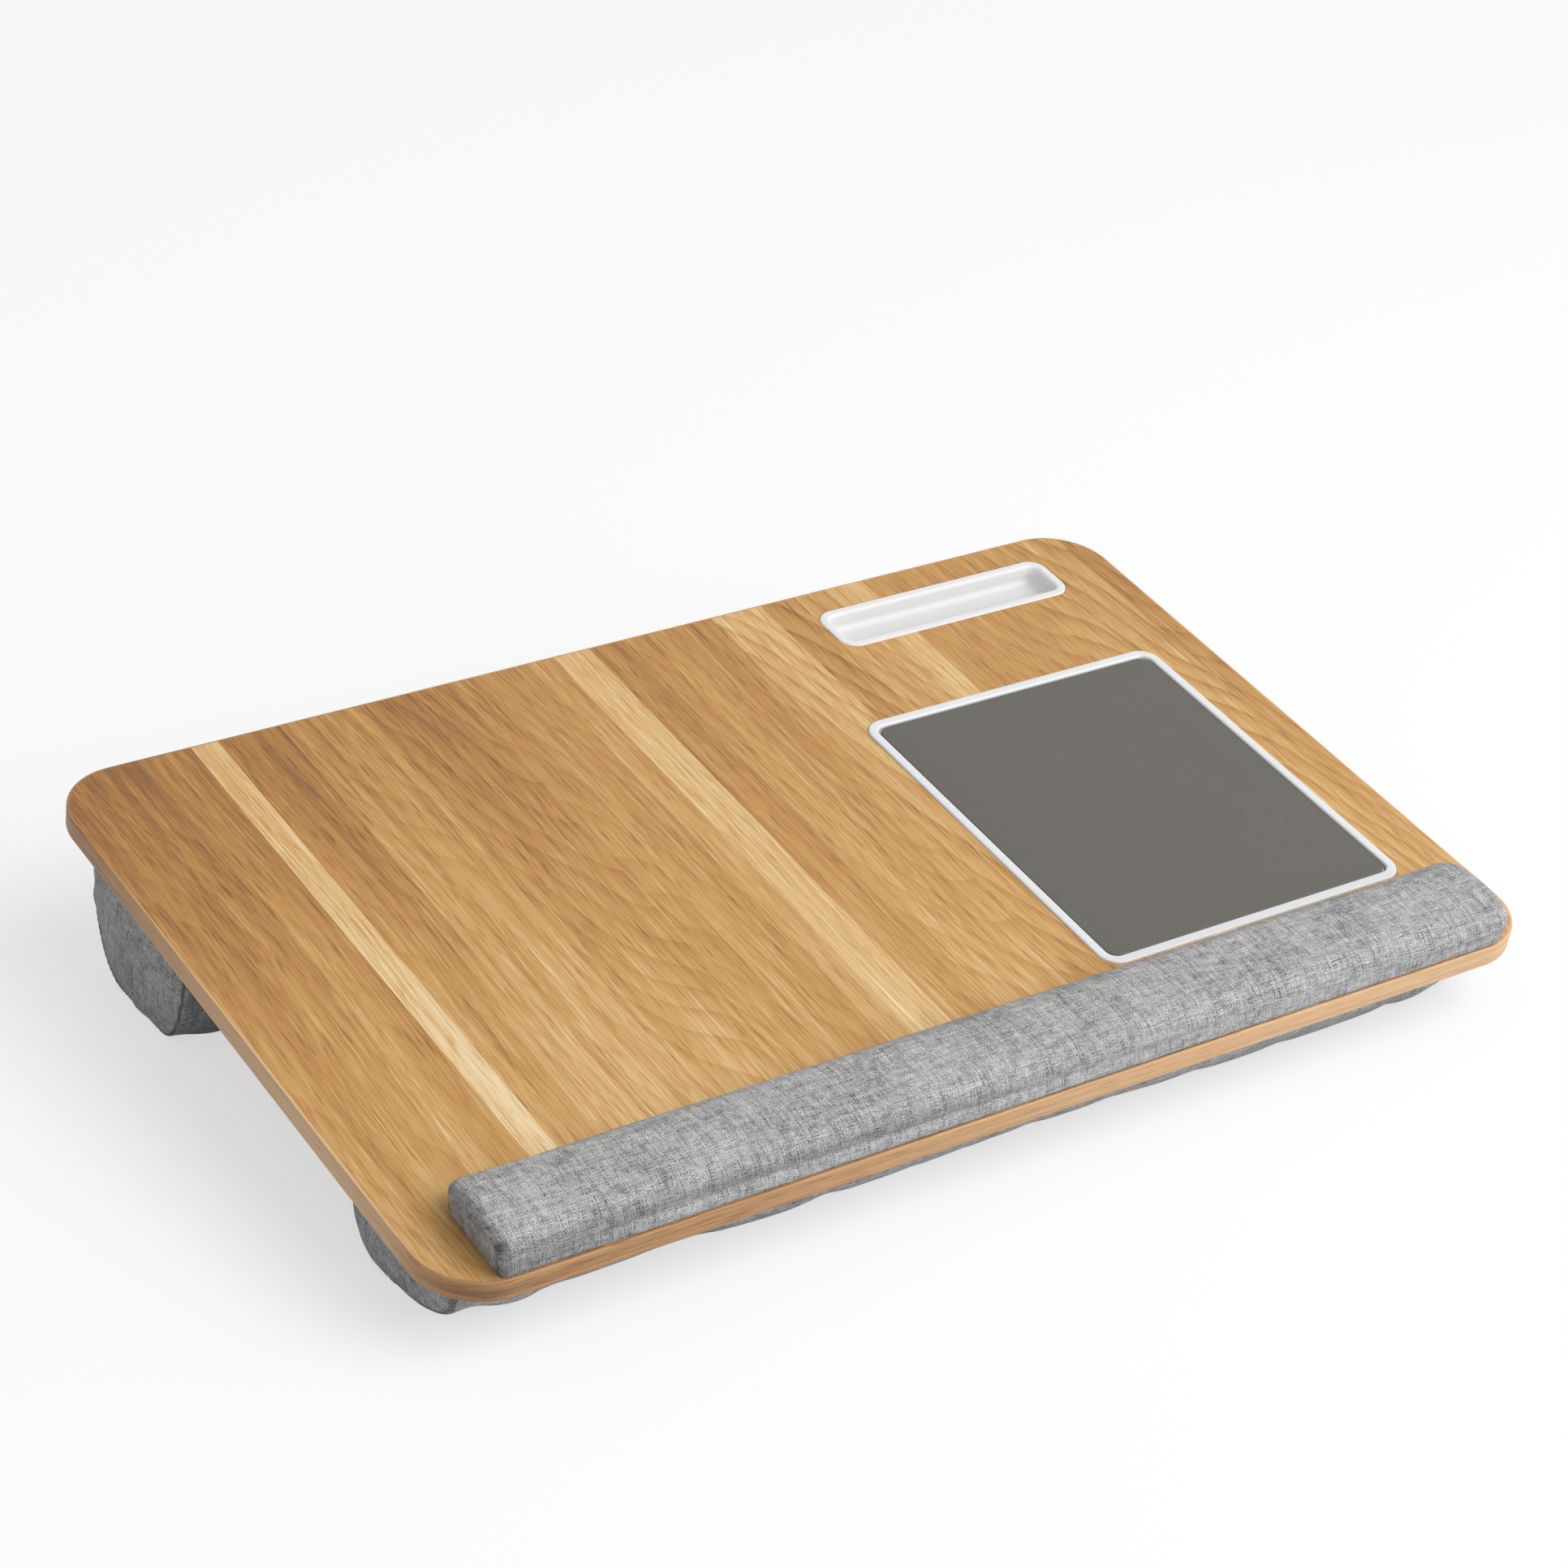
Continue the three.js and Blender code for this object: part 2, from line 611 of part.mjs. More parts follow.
// The whole tray is built flat on its board and then leant back on its soles.
const tray = new THREE.Group();
tray.add(
  ...boardPieces(),
  ...mousePadPieces(),
  phoneInsert(),
  ...wristRestPieces(),
  ...bolsterPieces(frontBolster),
  ...bolsterPieces(rearBolster),
);
tray.rotation.x = TILT;
const footprint = new THREE.Box3().setFromObject(tray, true);
const footprintMiddle = footprint.getCenter(new THREE.Vector3());
tray.position.set(-footprintMiddle.x, -footprintMiddle.y, -footprint.min.z);

const laptopTray = new THREE.Group();
laptopTray.add(tray);

export default laptopTray;
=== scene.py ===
"""Looks of the cushioned lap tray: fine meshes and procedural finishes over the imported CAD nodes."""
import json
import logging
import math
from dataclasses import dataclass, field
from enum import Enum
from functools import cached_property
from typing import Any, ClassVar, NamedTuple, Sequence

import bmesh
import bpy
from mathutils import Matrix, Vector, noise


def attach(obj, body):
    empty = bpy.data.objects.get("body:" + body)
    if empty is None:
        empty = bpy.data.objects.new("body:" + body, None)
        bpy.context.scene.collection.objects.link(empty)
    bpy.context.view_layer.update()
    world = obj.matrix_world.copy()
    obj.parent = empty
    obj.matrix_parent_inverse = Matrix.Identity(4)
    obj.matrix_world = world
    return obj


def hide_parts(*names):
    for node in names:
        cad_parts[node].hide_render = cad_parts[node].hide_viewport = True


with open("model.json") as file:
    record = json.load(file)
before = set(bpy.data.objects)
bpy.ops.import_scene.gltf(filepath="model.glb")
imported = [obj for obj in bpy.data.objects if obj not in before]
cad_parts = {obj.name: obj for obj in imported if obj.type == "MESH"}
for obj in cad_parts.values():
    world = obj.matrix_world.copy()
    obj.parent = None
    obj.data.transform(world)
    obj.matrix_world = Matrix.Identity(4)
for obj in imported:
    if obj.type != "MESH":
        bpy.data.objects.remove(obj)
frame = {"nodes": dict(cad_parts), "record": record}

LOG = logging.getLogger("lap_tray")
MM = 0.001
TINY = 1e-9
BODY = "root"

Colour = tuple[float, float, float]
Point2 = tuple[float, float]
Point3 = tuple[float, float, float]
Ramp = Sequence[tuple[float, Colour]]
Station = tuple[float, list[Point2]]
Socket = bpy.types.NodeSocket


# Curves and steps


def lerp(a: float, b: float, share: float) -> float:
    """Return the value at a share of the way from a to b."""
    return a + (b - a) * share


def smoothstep(value: float, low: float, high: float) -> float:
    """Return the smooth step of a value between two bounds."""
    t = min(max((value - low) / (high - low), 0.0), 1.0)
    return t * t * (3 - 2 * t)


def fade(value: float, low: float, high: float) -> float:
    """Return 1 below two bounds and 0 above them, with a smooth step between."""
    return 1.0 - smoothstep(value, low, high)


def bell(value: float, middle: float, width: float) -> float:
    """Return a bell curve that is 1 at its middle."""
    return math.exp(-((value - middle) / width) ** 2)


def eased(points: Sequence[Point2], at: float) -> float:
    """Return the value at a place, with a smooth step from each point to the next.

    Args:
        points: places, in order, each with its value.
        at: place that is asked for.

    Returns:
        The value there.
    """
    for (start, low), (end, high) in zip(points, points[1:]):
        if at <= end:
            return lerp(low, high, smoothstep(at, start, end))
    return points[-1][1]


def arc(centre: Point2, radius: float, start_deg: float, end_deg: float, steps: int = 6) -> list[Point2]:
    """Return points on an arc, both ends included.

    Args:
        centre: middle of the circle.
        radius: its radius.
        start_deg: angle of the first point.
        end_deg: angle of the last point.
        steps: number of steps between them.

    Returns:
        The points in order.
    """
    out = []
    for i in range(steps + 1):
        angle = math.radians(lerp(start_deg, end_deg, i / steps))
        out.append((centre[0] + radius * math.cos(angle), centre[1] + radius * math.sin(angle)))
    return out


def bezier(a: Point2, b: Point2, c: Point2, d: Point2, steps: int = 24) -> list[Point2]:
    """Return points on a cubic curve, both ends included.

    Args:
        a: start of the curve.
        b: handle of its start.
        c: handle of its end.
        d: end of the curve.
        steps: number of steps between them.

    Returns:
        The points in order.
    """
    out = []
    for i in range(steps + 1):
        t = i / steps
        weights = ((1 - t) ** 3, 3 * t * (1 - t) ** 2, 3 * t * t * (1 - t), t ** 3)
        out.append(tuple(sum(w * p[axis] for w, p in zip(weights, (a, b, c, d))) for axis in (0, 1)))
    return out


def lengths(ring: Sequence[Vector], closed: bool = True) -> list[float]:
    """Return the distance along a ring at each vertex, and back at the start when closed.

    Args:
        ring: points of the ring.
        closed: whether it runs back to its start.

    Returns:
        The distances, from 0.
    """
    out = [0.0]
    for a, b in zip(ring, list(ring[1:]) + ([ring[0]] if closed else [])):
        out.append(out[-1] + (b - a).length)
    return out


def spread(path: Sequence[Point2], count: int) -> list[Point2]:
    """Return count + 1 points at even distances along a path.

    Args:
        path: points of the path.
        count: number of steps along it.

    Returns:
        The points in order.
    """
    vectors = [Vector((*p, 0.0)) for p in path]
    at = lengths(vectors, closed=False)
    out, leg = [], 0
    for i in range(count + 1):
        want = at[-1] * i / count
        while leg < len(at) - 2 and at[leg + 1] < want:
            leg += 1
        share = (want - at[leg]) / max(at[leg + 1] - at[leg], TINY)
        point = vectors[leg].lerp(vectors[leg + 1], min(max(share, 0.0), 1.0))
        out.append((point.x, point.y))
    return out


def offsets(length: float, near: Sequence[float], step: float) -> list[float]:
    """Return distances along a run, close together at both ends and even between them.

    Args:
        length: length of the run.
        near: distances from an end, the last one where the even stretch begins.
        step: distance aimed at in the even stretch.

    Returns:
        The distances from one end to the other.
    """
    even = length - 2 * near[-1]
    number = round(even / step)
    middle = [near[-1] + even * i / number for i in range(number + 1)]
    return [*near[:-1], *middle, *(length - d for d in reversed(near[:-1]))]


# Frame, outlines and meshes


@dataclass(frozen=True)
class BoardFrame:
    """The board's own frame, leant back on its bolsters.

    x runs from the left edge, y from the front edge and z up from the top face, all in millimetres. The
    front edge of the top has its place in the world as front_y and front_z.
    """

    width: float = 556.0
    depth: float = 354.0
    thickness: float = 10.0
    rise: float = 31.0
    run: float = 233.5
    front_y: float = -176.11847398520865
    front_z: float = 37.30436915537899
    sole_y: float = 55.5
    sole_z: float = -45.0

    @cached_property
    def tilt(self) -> float:
        """Return the lean of the board, in radians."""
        return math.atan2(self.rise, self.run)

    def sole(self, y: float) -> float:
        """Return the height of the surface that the tray stands on, in the board's frame."""
        return self.sole_z - (y - self.sole_y) * self.rise / self.run

    def world(self, x: float, y: float, z: float) -> Vector:
        """Return a point of the board's frame in the world, in metres.

        Args:
            x: distance from the left edge.
            y: distance from the front edge.
            z: height over the top face.

        Returns:
            The point in metres.
        """
        c, s = math.cos(self.tilt), math.sin(self.tilt)
        return Vector((x - self.width / 2, y * c - z * s + self.front_y, y * s + z * c + self.front_z)) * MM

    def local(self, point: Vector) -> Vector:
        """Return a world point, in metres, in the board's frame, in millimetres.

        Args:
            point: point in the world.

        Returns:
            Its x, y and z on the board.
        """
        c, s = math.cos(self.tilt), math.sin(self.tilt)
        x, y, z = point / MM
        dy, dz = y - self.front_y, z - self.front_z
        return Vector((x + self.width / 2, dy * c + dz * s, dz * c - dy * s))

    def turn(self, direction: Point3) -> Vector:
        """Return a direction of the board's frame in the world."""
        return Matrix.Rotation(self.tilt, 3, "X") @ Vector(direction)


BOARD = BoardFrame()


@dataclass(frozen=True)
class Plan:
    """A rounded rectangle in the plane of the board."""

    x: float
    y: float
    width: float
    depth: float
    corner: float
    steps: int = 20

    LEAST_RADIUS: ClassVar[float] = 0.2

    def ring(self, inset: float = 0.0) -> list[Point2]:
        """Return the outline drawn in by an inset, counter-clockwise from above.

        Args:
            inset: distance that the outline is drawn in, in millimetres.

        Returns:
            The points of the outline, the same number for every inset.
        """
        radius = max(self.corner - inset, self.LEAST_RADIUS)
        half_w, half_d = self.width / 2 - inset - radius, self.depth / 2 - inset - radius
        middle = (self.x + self.width / 2, self.y + self.depth / 2)
        points = []
        for quarter, (sx, sy) in enumerate(((1, 1), (-1, 1), (-1, -1), (1, -1))):
            centre = (middle[0] + sx * half_w, middle[1] + sy * half_d)
            points += arc(centre, radius, quarter * 90.0, (quarter + 1) * 90.0, self.steps)
        return points


@dataclass
class Shape:
    """Vertices and faces of one piece in the making, with a map for its finish."""

    points: list[Vector] = field(default_factory=list)
    faces: list[tuple[int, ...]] = field(default_factory=list)
    maps: list[tuple[Point2, ...]] = field(default_factory=list)

    def add_ring(self, ring: Sequence[Vector]) -> int:
        """Add the vertices of a ring and return the index of its first one."""
        self.points.extend(ring)
        return len(self.points) - len(ring)

    def add_face(self, corners: Sequence[int], uv: Sequence[Point2]) -> None:
        """Add a face with the map point of each corner."""
        self.faces.append(tuple(corners))
        self.maps.append(tuple(uv))

    def bridge(self, first: int, second: int, lower: Sequence[Point2], upper: Sequence[Point2]) -> None:
        """Join two rings of equal length with quads.

        Args:
            first: index of the first vertex of one ring.
            second: index of the first vertex of the other.
            lower: map points along the first ring and back at its start.
            upper: map points along the second ring and back at its start.
        """
        count = len(lower) - 1
        for i in range(count):
            j = (i + 1) % count
            self.add_face((first + i, first + j, second + j, second + i),
                          (lower[i], lower[i + 1], upper[i + 1], upper[i]))

    def cap(self, first: int, count: int) -> None:
        """Close a ring with one face, mapped by its own x and y."""
        corners = range(first, first + count)
        self.add_face(corners, [self.points[i].to_tuple()[:2] for i in corners])

    def piece(self, name: str, sharp_deg: float | None = None, map_name: str = "grain") -> bpy.types.Object:
        """Make the object, with faces outwards and smooth up to an angle.

        Args:
            name: name of the object.
            sharp_deg: edges that turn by more than this stay sharp, if given.
            map_name: name of the UV map.

        Returns:
            The object, linked to the scene.
        """
        mesh = bpy.data.meshes.new(name)
        mesh.from_pydata(self.points, [], self.faces)
        layer = mesh.uv_layers.new(name=map_name)
        layer.data.foreach_set("uv", [c for uv in self.maps for pair in uv for c in pair])
        bm = bmesh.new()
        bm.from_mesh(mesh)
        return finished(name, mesh, bm, sharp_deg)


def finished(name: str, mesh: bpy.types.Mesh, bm: bmesh.types.BMesh,
             sharp_deg: float | None) -> bpy.types.Object:
    """Turn the faces of a mesh outwards, smooth it and link it to the scene.

    Args:
        name: name of the object.
        mesh: mesh that the object gets.
        bm: what goes into the mesh, given up here.
        sharp_deg: edges that turn by more than this stay sharp, if given.

    Returns:
        The object, at the origin.
    """
    bmesh.ops.recalc_face_normals(bm, faces=bm.faces)
    bm.to_mesh(mesh)
    bm.free()
    mesh.shade_smooth()
    if sharp_deg is not None:
        mesh.set_sharp_from_angle(angle=math.radians(sharp_deg))
    return link(name, mesh)


def link(name: str, data: Any) -> bpy.types.Object:
    """Link a mesh, a lamp or a camera to the scene as an object.

    Args:
        name: name of the object.
        data: what it shows.

    Returns:
        The object, at the origin.
    """
    piece = bpy.data.objects.new(name, data)
    bpy.context.scene.collection.objects.link(piece)
    return piece


def evaluated_mesh(piece: bpy.types.Object, modifier: bpy.types.Modifier) -> None:
    """Keep what a piece's only modifier makes of it as its mesh, and take the modifier off.

    Args:
        piece: object with one modifier.
        modifier: that modifier.
    """
    made = bpy.data.meshes.new_from_object(piece.evaluated_get(bpy.context.evaluated_depsgraph_get()))
    piece.modifiers.remove(modifier)
    piece.data = made
    made.name = piece.name


def swept(plan: Plan, section: Sequence[Point2], closed: bool) -> Shape:
    """Sweep a section of (inset, z) points round a plan.

    Args:
        plan: outline that the section follows.
        section: points of the section, from the outside of the lower end.
        closed: whether the last point joins the first; otherwise both ends are capped.

    Returns:
        The shape, mapped in metres along the outline and along the section.
    """
    shape = Shape()
    rings = [[BOARD.world(x, y, z) for x, y in plan.ring(inset)] for inset, z in section]
    starts = [shape.add_ring(ring) for ring in rings]
    along = lengths(rings[0])
    heights = [h * MM for h in lengths([Vector((*p, 0.0)) for p in section], closed)]
    rows = [[(a, height) for a in along] for height in heights]
    for k in range(len(rings) - 1 + closed):
        shape.bridge(starts[k], starts[(k + 1) % len(starts)], rows[k], rows[k + 1])
    if not closed:
        shape.cap(starts[0], len(rings[0]))
        shape.cap(starts[-1], len(rings[-1]))
    return shape


# Node trees


class Tree:
    """A node tree, with short calls to add and feed its nodes."""

    def __init__(self, tree: bpy.types.NodeTree) -> None:
        """Take a tree over and empty it."""
        self.nodes, self.links = tree.nodes, tree.links
        self.nodes.clear()

    def join(self, source: Any, target: Socket) -> None:
        """Feed a socket from another socket, or set it to a constant.

        Args:
            source: other socket or constant.
            target: socket that is fed.
        """
        if isinstance(source, Socket):
            self.links.new(source, target)
        else:
            target.default_value = source

    def node(self, kind: str, feeds: Sequence[Any] | dict[Any, Any] = (), **settings: Any) -> Any:
        """Add a node.

        Args:
            kind: type of the node.
            feeds: what its first inputs are fed with, or what the named ones are.
            settings: its own settings.

        Returns:
            The outputs of the node.
        """
        node = self.nodes.new(kind)
        for name, setting in settings.items():
            setattr(node, name, setting)
        for key, value in feeds.items() if isinstance(feeds, dict) else enumerate(feeds):
            self.join(value, node.inputs[key])
        return node.outputs


class Layer(NamedTuple):
    """One layer of noise over a finish.

    Attributes:
        x: how often it changes along the first axis.
        y: how often it changes along the second axis.
        cut: place of the layer in the noise.
        detail: octaves of the noise.
        roughness: how strong the finer octaves are.
        weight: how strongly the layer counts.
        mask: range of the noise that shows, for a layer of marks.
    """

    x: float
    y: float
    cut: float = 0.0
    detail: float = 1.0
    roughness: float = 0.5
    weight: float = 1.0
    mask: Point2 = (0.0, 1.0)


class Graph(Tree):
    """A material's node tree, with short calls for what the finishes use."""

    USUAL_NOISE: ClassVar[Point2] = (0.3, 0.7)

    def __init__(self, name: str) -> None:
        """Start a material with a principled shader.

        Args:
            name: name of the material.
        """
        self.material = bpy.data.materials.new(name)
        self.material.use_nodes = True
        super().__init__(self.material.node_tree)
        surface = self.node("ShaderNodeBsdfPrincipled")["BSDF"]
        self.shader = surface.node
        self.node("ShaderNodeOutputMaterial", (surface,))

    def dress(self, **inputs: Any) -> None:
        """Feed the shader's sockets, named with underscores for spaces."""
        for name, value in inputs.items():
            self.join(value, self.shader.inputs[name.replace("_", " ")])

    def place(self) -> Socket:
        """Return the point in the object's own space."""
        return self.node("ShaderNodeTexCoord")["Object"]

    def mapped(self, name: str) -> Socket:
        """Return the point of a named UV map."""
        return self.node("ShaderNodeUVMap", uv_map=name)["UV"]

    def height(self) -> Socket:
        """Return how far the point lies above the board's top, in metres.

        Returns:
            The height, negative below the top.
        """
        normal = BOARD.turn((0.0, 0.0, 1.0))
        over = self.node("ShaderNodeVectorMath", (self.place(), normal), operation="DOT_PRODUCT")["Value"]
        return self.math("SUBTRACT", over, BOARD.world(0.0, 0.0, 0.0).dot(normal))

    def split(self, vector: Socket) -> Any:
        """Return the three parts of a vector."""
        return self.node("ShaderNodeSeparateXYZ", (vector,))

    def channels(self, colour: Socket) -> Any:
        """Return the three parts of a colour."""
        return self.node("ShaderNodeSeparateColor", (colour,))

    def vector(self, x: Any, y: Any, z: Any = 0.0) -> Socket:
        """Return a vector of three parts."""
        return self.node("ShaderNodeCombineXYZ", (x, y, z))[0]

    def math(self, operation: str, a: Any, b: Any = 0.0) -> Socket:
        """Return the result of a math node."""
        return self.node("ShaderNodeMath", (a, b), operation=operation)[0]

    def add(self, *terms: Any) -> Socket:
        """Return the sum of several terms.

        Args:
            terms: sockets or constants.

        Returns:
            The sum.
        """
        total = terms[0]
        for term in terms[1:]:
            total = self.math("ADD", total, term)
        return total

    def times(self, a: Any, b: Any) -> Socket:
        """Return a product."""
        return self.math("MULTIPLY", a, b)

    def swing(self, value: Any, weight: Any) -> Socket:
        """Return how far a value lies from a half, times a weight."""
        return self.times(self.math("SUBTRACT", value, 0.5), weight)

    def span(self, value: Any, low: float, high: float, to_low: float = 0.0, to_high: float = 1.0,
             smooth: bool = False) -> Socket:
        """Return a value mapped from one range to another and clamped."""
        return self.node("ShaderNodeMapRange", (value, low, high, to_low, to_high),
                         interpolation_type="SMOOTHSTEP" if smooth else "LINEAR")[0]

    def ranged(self, value: Any, to_low: float = 0.0, to_high: float = 1.0) -> Socket:
        """Return the usual range of a noise mapped to another range."""
        return self.span(value, *self.USUAL_NOISE, to_low, to_high)

    def noise(self, vector: Any, scale: float = 1.0, detail: float = 2.0, roughness: float = 0.5) -> Any:
        """Return the value and the colour of a noise texture."""
        feeds = {"Vector": vector, "Scale": scale, "Detail": detail, "Roughness": roughness}
        return self.node("ShaderNodeTexNoise", feeds)

    def layer(self, layer: Layer, x: Any, y: Any, cut: Any = None) -> Any:
        """Return the value and the colour of a layer of noise.

        Args:
            layer: the layer.
            x: place along its first axis.
            y: place along its second axis.
            cut: place in the noise, if it isn't the layer's own.

        Returns:
            The outputs of the noise texture.
        """
        point = self.vector(self.times(x, layer.x), self.times(y, layer.y), layer.cut if cut is None else cut)
        return self.noise(point, detail=layer.detail, roughness=layer.roughness)

    def cells(self, vector: Any, scale: float, feature: str = "F1") -> Socket:
        """Return the distance of a Voronoi texture."""
        return self.node("ShaderNodeTexVoronoi", {"Vector": vector, "Scale": scale}, feature=feature)[0]

    def ramp(self, factor: Any, stops: Ramp, stepped: bool = False) -> Socket:
        """Return the colour of a ramp over the given stops.

        Args:
            factor: place on the ramp, from 0 to 1.
            stops: places with their colours.
            stepped: whether a colour holds up to the next stop.

        Returns:
            The colour.
        """
        colour = self.node("ShaderNodeValToRGB", (factor,))[0]
        scale = colour.node.color_ramp
        scale.interpolation = "CONSTANT" if stepped else "LINEAR"
        while len(scale.elements) < len(stops):
            scale.elements.new(0.5)
        for element, (at, tone) in zip(scale.elements, stops):
            element.position = at
            element.color = (*tone, 1.0)
        return colour

    def mix(self, factor: Any, a: Any, b: Any, blend: str = "MIX") -> Socket:
        """Return a mix of two colours.

        Args:
            factor: share of the second colour.
            a: first colour.
            b: second colour.
            blend: how the second goes over the first.

        Returns:
            The mixed colour.
        """
        first, second = ((*c, 1.0) if isinstance(c, tuple) else c for c in (a, b))
        feeds = {0: factor, 6: first, 7: second}
        return self.node("ShaderNodeMix", feeds, data_type="RGBA", blend_type=blend)[2]

    def blend(self, factor: Any, a: Any, b: Any) -> Socket:
        """Return a mix of two values."""
        return self.node("ShaderNodeMix", {0: factor, 2: a, 3: b})[0]

    def grey(self, value: Any) -> Socket:
        """Return a value as a grey colour."""
        return self.node("ShaderNodeCombineColor", (value, value, value))[0]

    def bump(self, height: Any, depth_mm: float, strength: float = 1.0) -> None:
        """Give the shader a relief of a depth in millimetres."""
        feeds = {"Strength": strength, "Distance": depth_mm * MM, "Height": height}
        self.join(self.node("ShaderNodeBump", feeds)[0], self.shader.inputs["Normal"])


def toned(colour: Colour, share: float) -> Colour:
    """Return a colour made darker or paler by a share."""
    return tuple(c * share for c in colour)


# Finishes


class Stave(NamedTuple):
    """One stave of the oak top.

    Attributes:
        start_mm: where the stave starts, from the board's left edge.
        tone: how pale it is.
        figure: how strongly its growth rings show.
        stripes: how strongly it is striped along the grain.
        drift: how much darker it grows towards the rear, partly the wood's own tone and partly painted light
            that makes the front paler.
    """

    start_mm: float
    tone: float
    figure: float
    stripes: float
    drift: float


@dataclass(frozen=True)
class OakTop:
    """Satin oak-look laminate of parallel staves, with the grain along y."""

    name: str = "oak_top"
    tones: Ramp = (
        (0.0, (0.205, 0.085, 0.022)), (0.25, (0.368, 0.169, 0.041)), (0.45, (0.486, 0.248, 0.070)),
        (0.62, (0.566, 0.330, 0.118)), (0.8, (0.676, 0.452, 0.202)), (1.0, (0.80, 0.625, 0.385)))
    staves: tuple[Stave, ...] = (
        Stave(0.0, 0.43, 0.30, 0.8, 0.48), Stave(42.0, 0.46, 0.20, 0.8, 0.30),
        Stave(67.5, 0.88, 0.0, 0.5, 0.20), Stave(81.7, 0.50, 0.20, 0.9, 0.46),
        Stave(112.0, 0.54, 0.30, 0.9, 0.42), Stave(150.0, 0.47, 0.50, 0.85, 0.40),
        Stave(199.0, 0.52, 0.30, 0.7, 0.15), Stave(239.0, 0.61, 0.10, 0.6, 0.15),
        Stave(253.5, 0.79, 0.0, 0.5, 0.10), Stave(271.5, 0.44, 0.20, 0.7, 0.20),
        Stave(292.0, 0.51, 0.40, 0.7, 0.20), Stave(340.0, 0.56, 0.80, 0.6, -0.22),
        Stave(369.0, 0.45, 1.0, 0.5, 0.10), Stave(387.0, 0.60, 0.55, 0.7, 0.10),
        Stave(414.0, 0.80, 0.0, 0.3, 0.10), Stave(426.0, 0.52, 0.30, 0.35, 0.10),
        Stave(451.0, 0.52, 0.40, 0.25, 0.10), Stave(497.0, 0.55, 0.90, 0.25, 0.10),
        Stave(519.0, 0.56, 0.95, 0.30, 0.12), Stave(541.0, 0.48, 0.60, 0.30, 0.32))
    drift_reach_m: float = 0.16
    sway: Layer = Layer(5.0, 3.2, weight=0.018)
    bands: Layer = Layer(170.0, 2.0, 0.0, 3.0, 0.6, weight=0.75)
    streaks: Layer = Layer(32.0, 3.2, 5.0, 1.0, 0.6, weight=0.4)
    hairs: Layer = Layer(760.0, 10.0, 8.0, 2.0, 0.6, weight=0.46)
    pores: Layer = Layer(700.0, 58.0, 2.0, 1.0, 0.6, weight=-0.17, mask=(0.58, 0.72))
    lines: Layer = Layer(1500.0, 46.0, 1.0, 1.0, 0.6, weight=-0.20, mask=(0.55, 0.68))
    flecks: Layer = Layer(950.0, 27.0, 3.0, 1.0, 0.6, weight=0.17, mask=(0.57, 0.72))
    flame: Layer = Layer(17.0, 5.0, 11.0, 1.0, 0.6, weight=6.0)
    rings_across: float = 88.0
    rings_along: float = 26.0
    ring_edge: float = 2.6
    ring_weight: float = -0.30
    figure_lift: float = 0.085

    SEED_START: ClassVar[float] = 0.13
    SEED_STEP: ClassVar[float] = 0.377
    SEED_REACH: ClassVar[float] = 37.0

    def stepped(self, g: Graph, x: Any, values: Sequence[Colour]) -> Any:
        """Return three values that change from stave to stave.

        Args:
            g: graph of the material.
            x: distance from the board's left edge.
            values: the three values of each stave, from 0 to 1.

        Returns:
            A socket for each of the three.
        """
        stops = [(s.start_mm / BOARD.width, value) for s, value in zip(self.staves, values)]
        return g.channels(g.ramp(g.math("DIVIDE", x, BOARD.width * MM), stops, stepped=True))

    def material(self) -> bpy.types.Material:
        """Build the material.

        Returns:
            The material.
        """
        g = Graph(self.name)
        x, y, _ = g.split(g.place())
        x = g.math("ADD", x, BOARD.width * MM / 2)
        seeds = [(i * self.SEED_STEP + self.SEED_START) % 1.0 for i in range(len(self.staves))]
        tone, figure, seed = self.stepped(g, x, [(s.tone, s.figure, at) for s, at in zip(self.staves, seeds)])
        stripes, drift, _ = self.stepped(g, x, [(s.stripes, 0.5 + s.drift, 0.0) for s in self.staves])
        # Darker towards the rear: partly the wood's own tone, partly painted light that makes the front
        # paler.
        drift = g.swing(drift, g.span(y, -self.drift_reach_m, self.drift_reach_m, 0.5, -0.5))
        bent = g.add(x, g.swing(g.layer(self.sway, x, y)[0], self.sway.weight))
        shift = g.times(seed, self.SEED_REACH)

        def grain(layer: Layer) -> Socket:
            """Return a layer of the grain, other in every stave."""
            return g.layer(layer, bent, y, g.add(shift, layer.cut))[0]

        bands = grain(self.bands)
        broad = g.add(g.times(grain(self.streaks), self.streaks.weight), g.times(bands, self.bands.weight))
        middle = (self.streaks.weight + self.bands.weight) / 2
        broad = g.times(g.math("SUBTRACT", broad, middle), stripes)
        marks = (self.pores, self.lines, self.flecks)
        pores, lines, flecks = (g.span(grain(layer), *layer.mask) for layer in marks)
        turns = g.add(g.times(bent, self.rings_across), g.times(y, self.rings_along),
                      g.times(grain(self.flame), self.flame.weight), shift)
        rings = g.times(g.math("POWER", g.math("FRACT", turns), self.ring_edge), figure)
        level = g.add(tone, drift, broad, g.swing(grain(self.hairs), self.hairs.weight),
                      g.times(rings, self.ring_weight), g.times(figure, self.figure_lift),
                      g.times(pores, self.pores.weight), g.times(lines, self.lines.weight),
                      g.times(flecks, self.flecks.weight))
        g.dress(Base_Color=g.ramp(level, self.tones), Roughness=g.ranged(bands, 0.44, 0.54),
                Specular_IOR_Level=0.42)
        relief = g.add(g.times(lines, -1.0), g.times(pores, -1.0), g.times(bands, 0.3))
        g.bump(relief, depth_mm=0.05, strength=0.5)
        return g.material


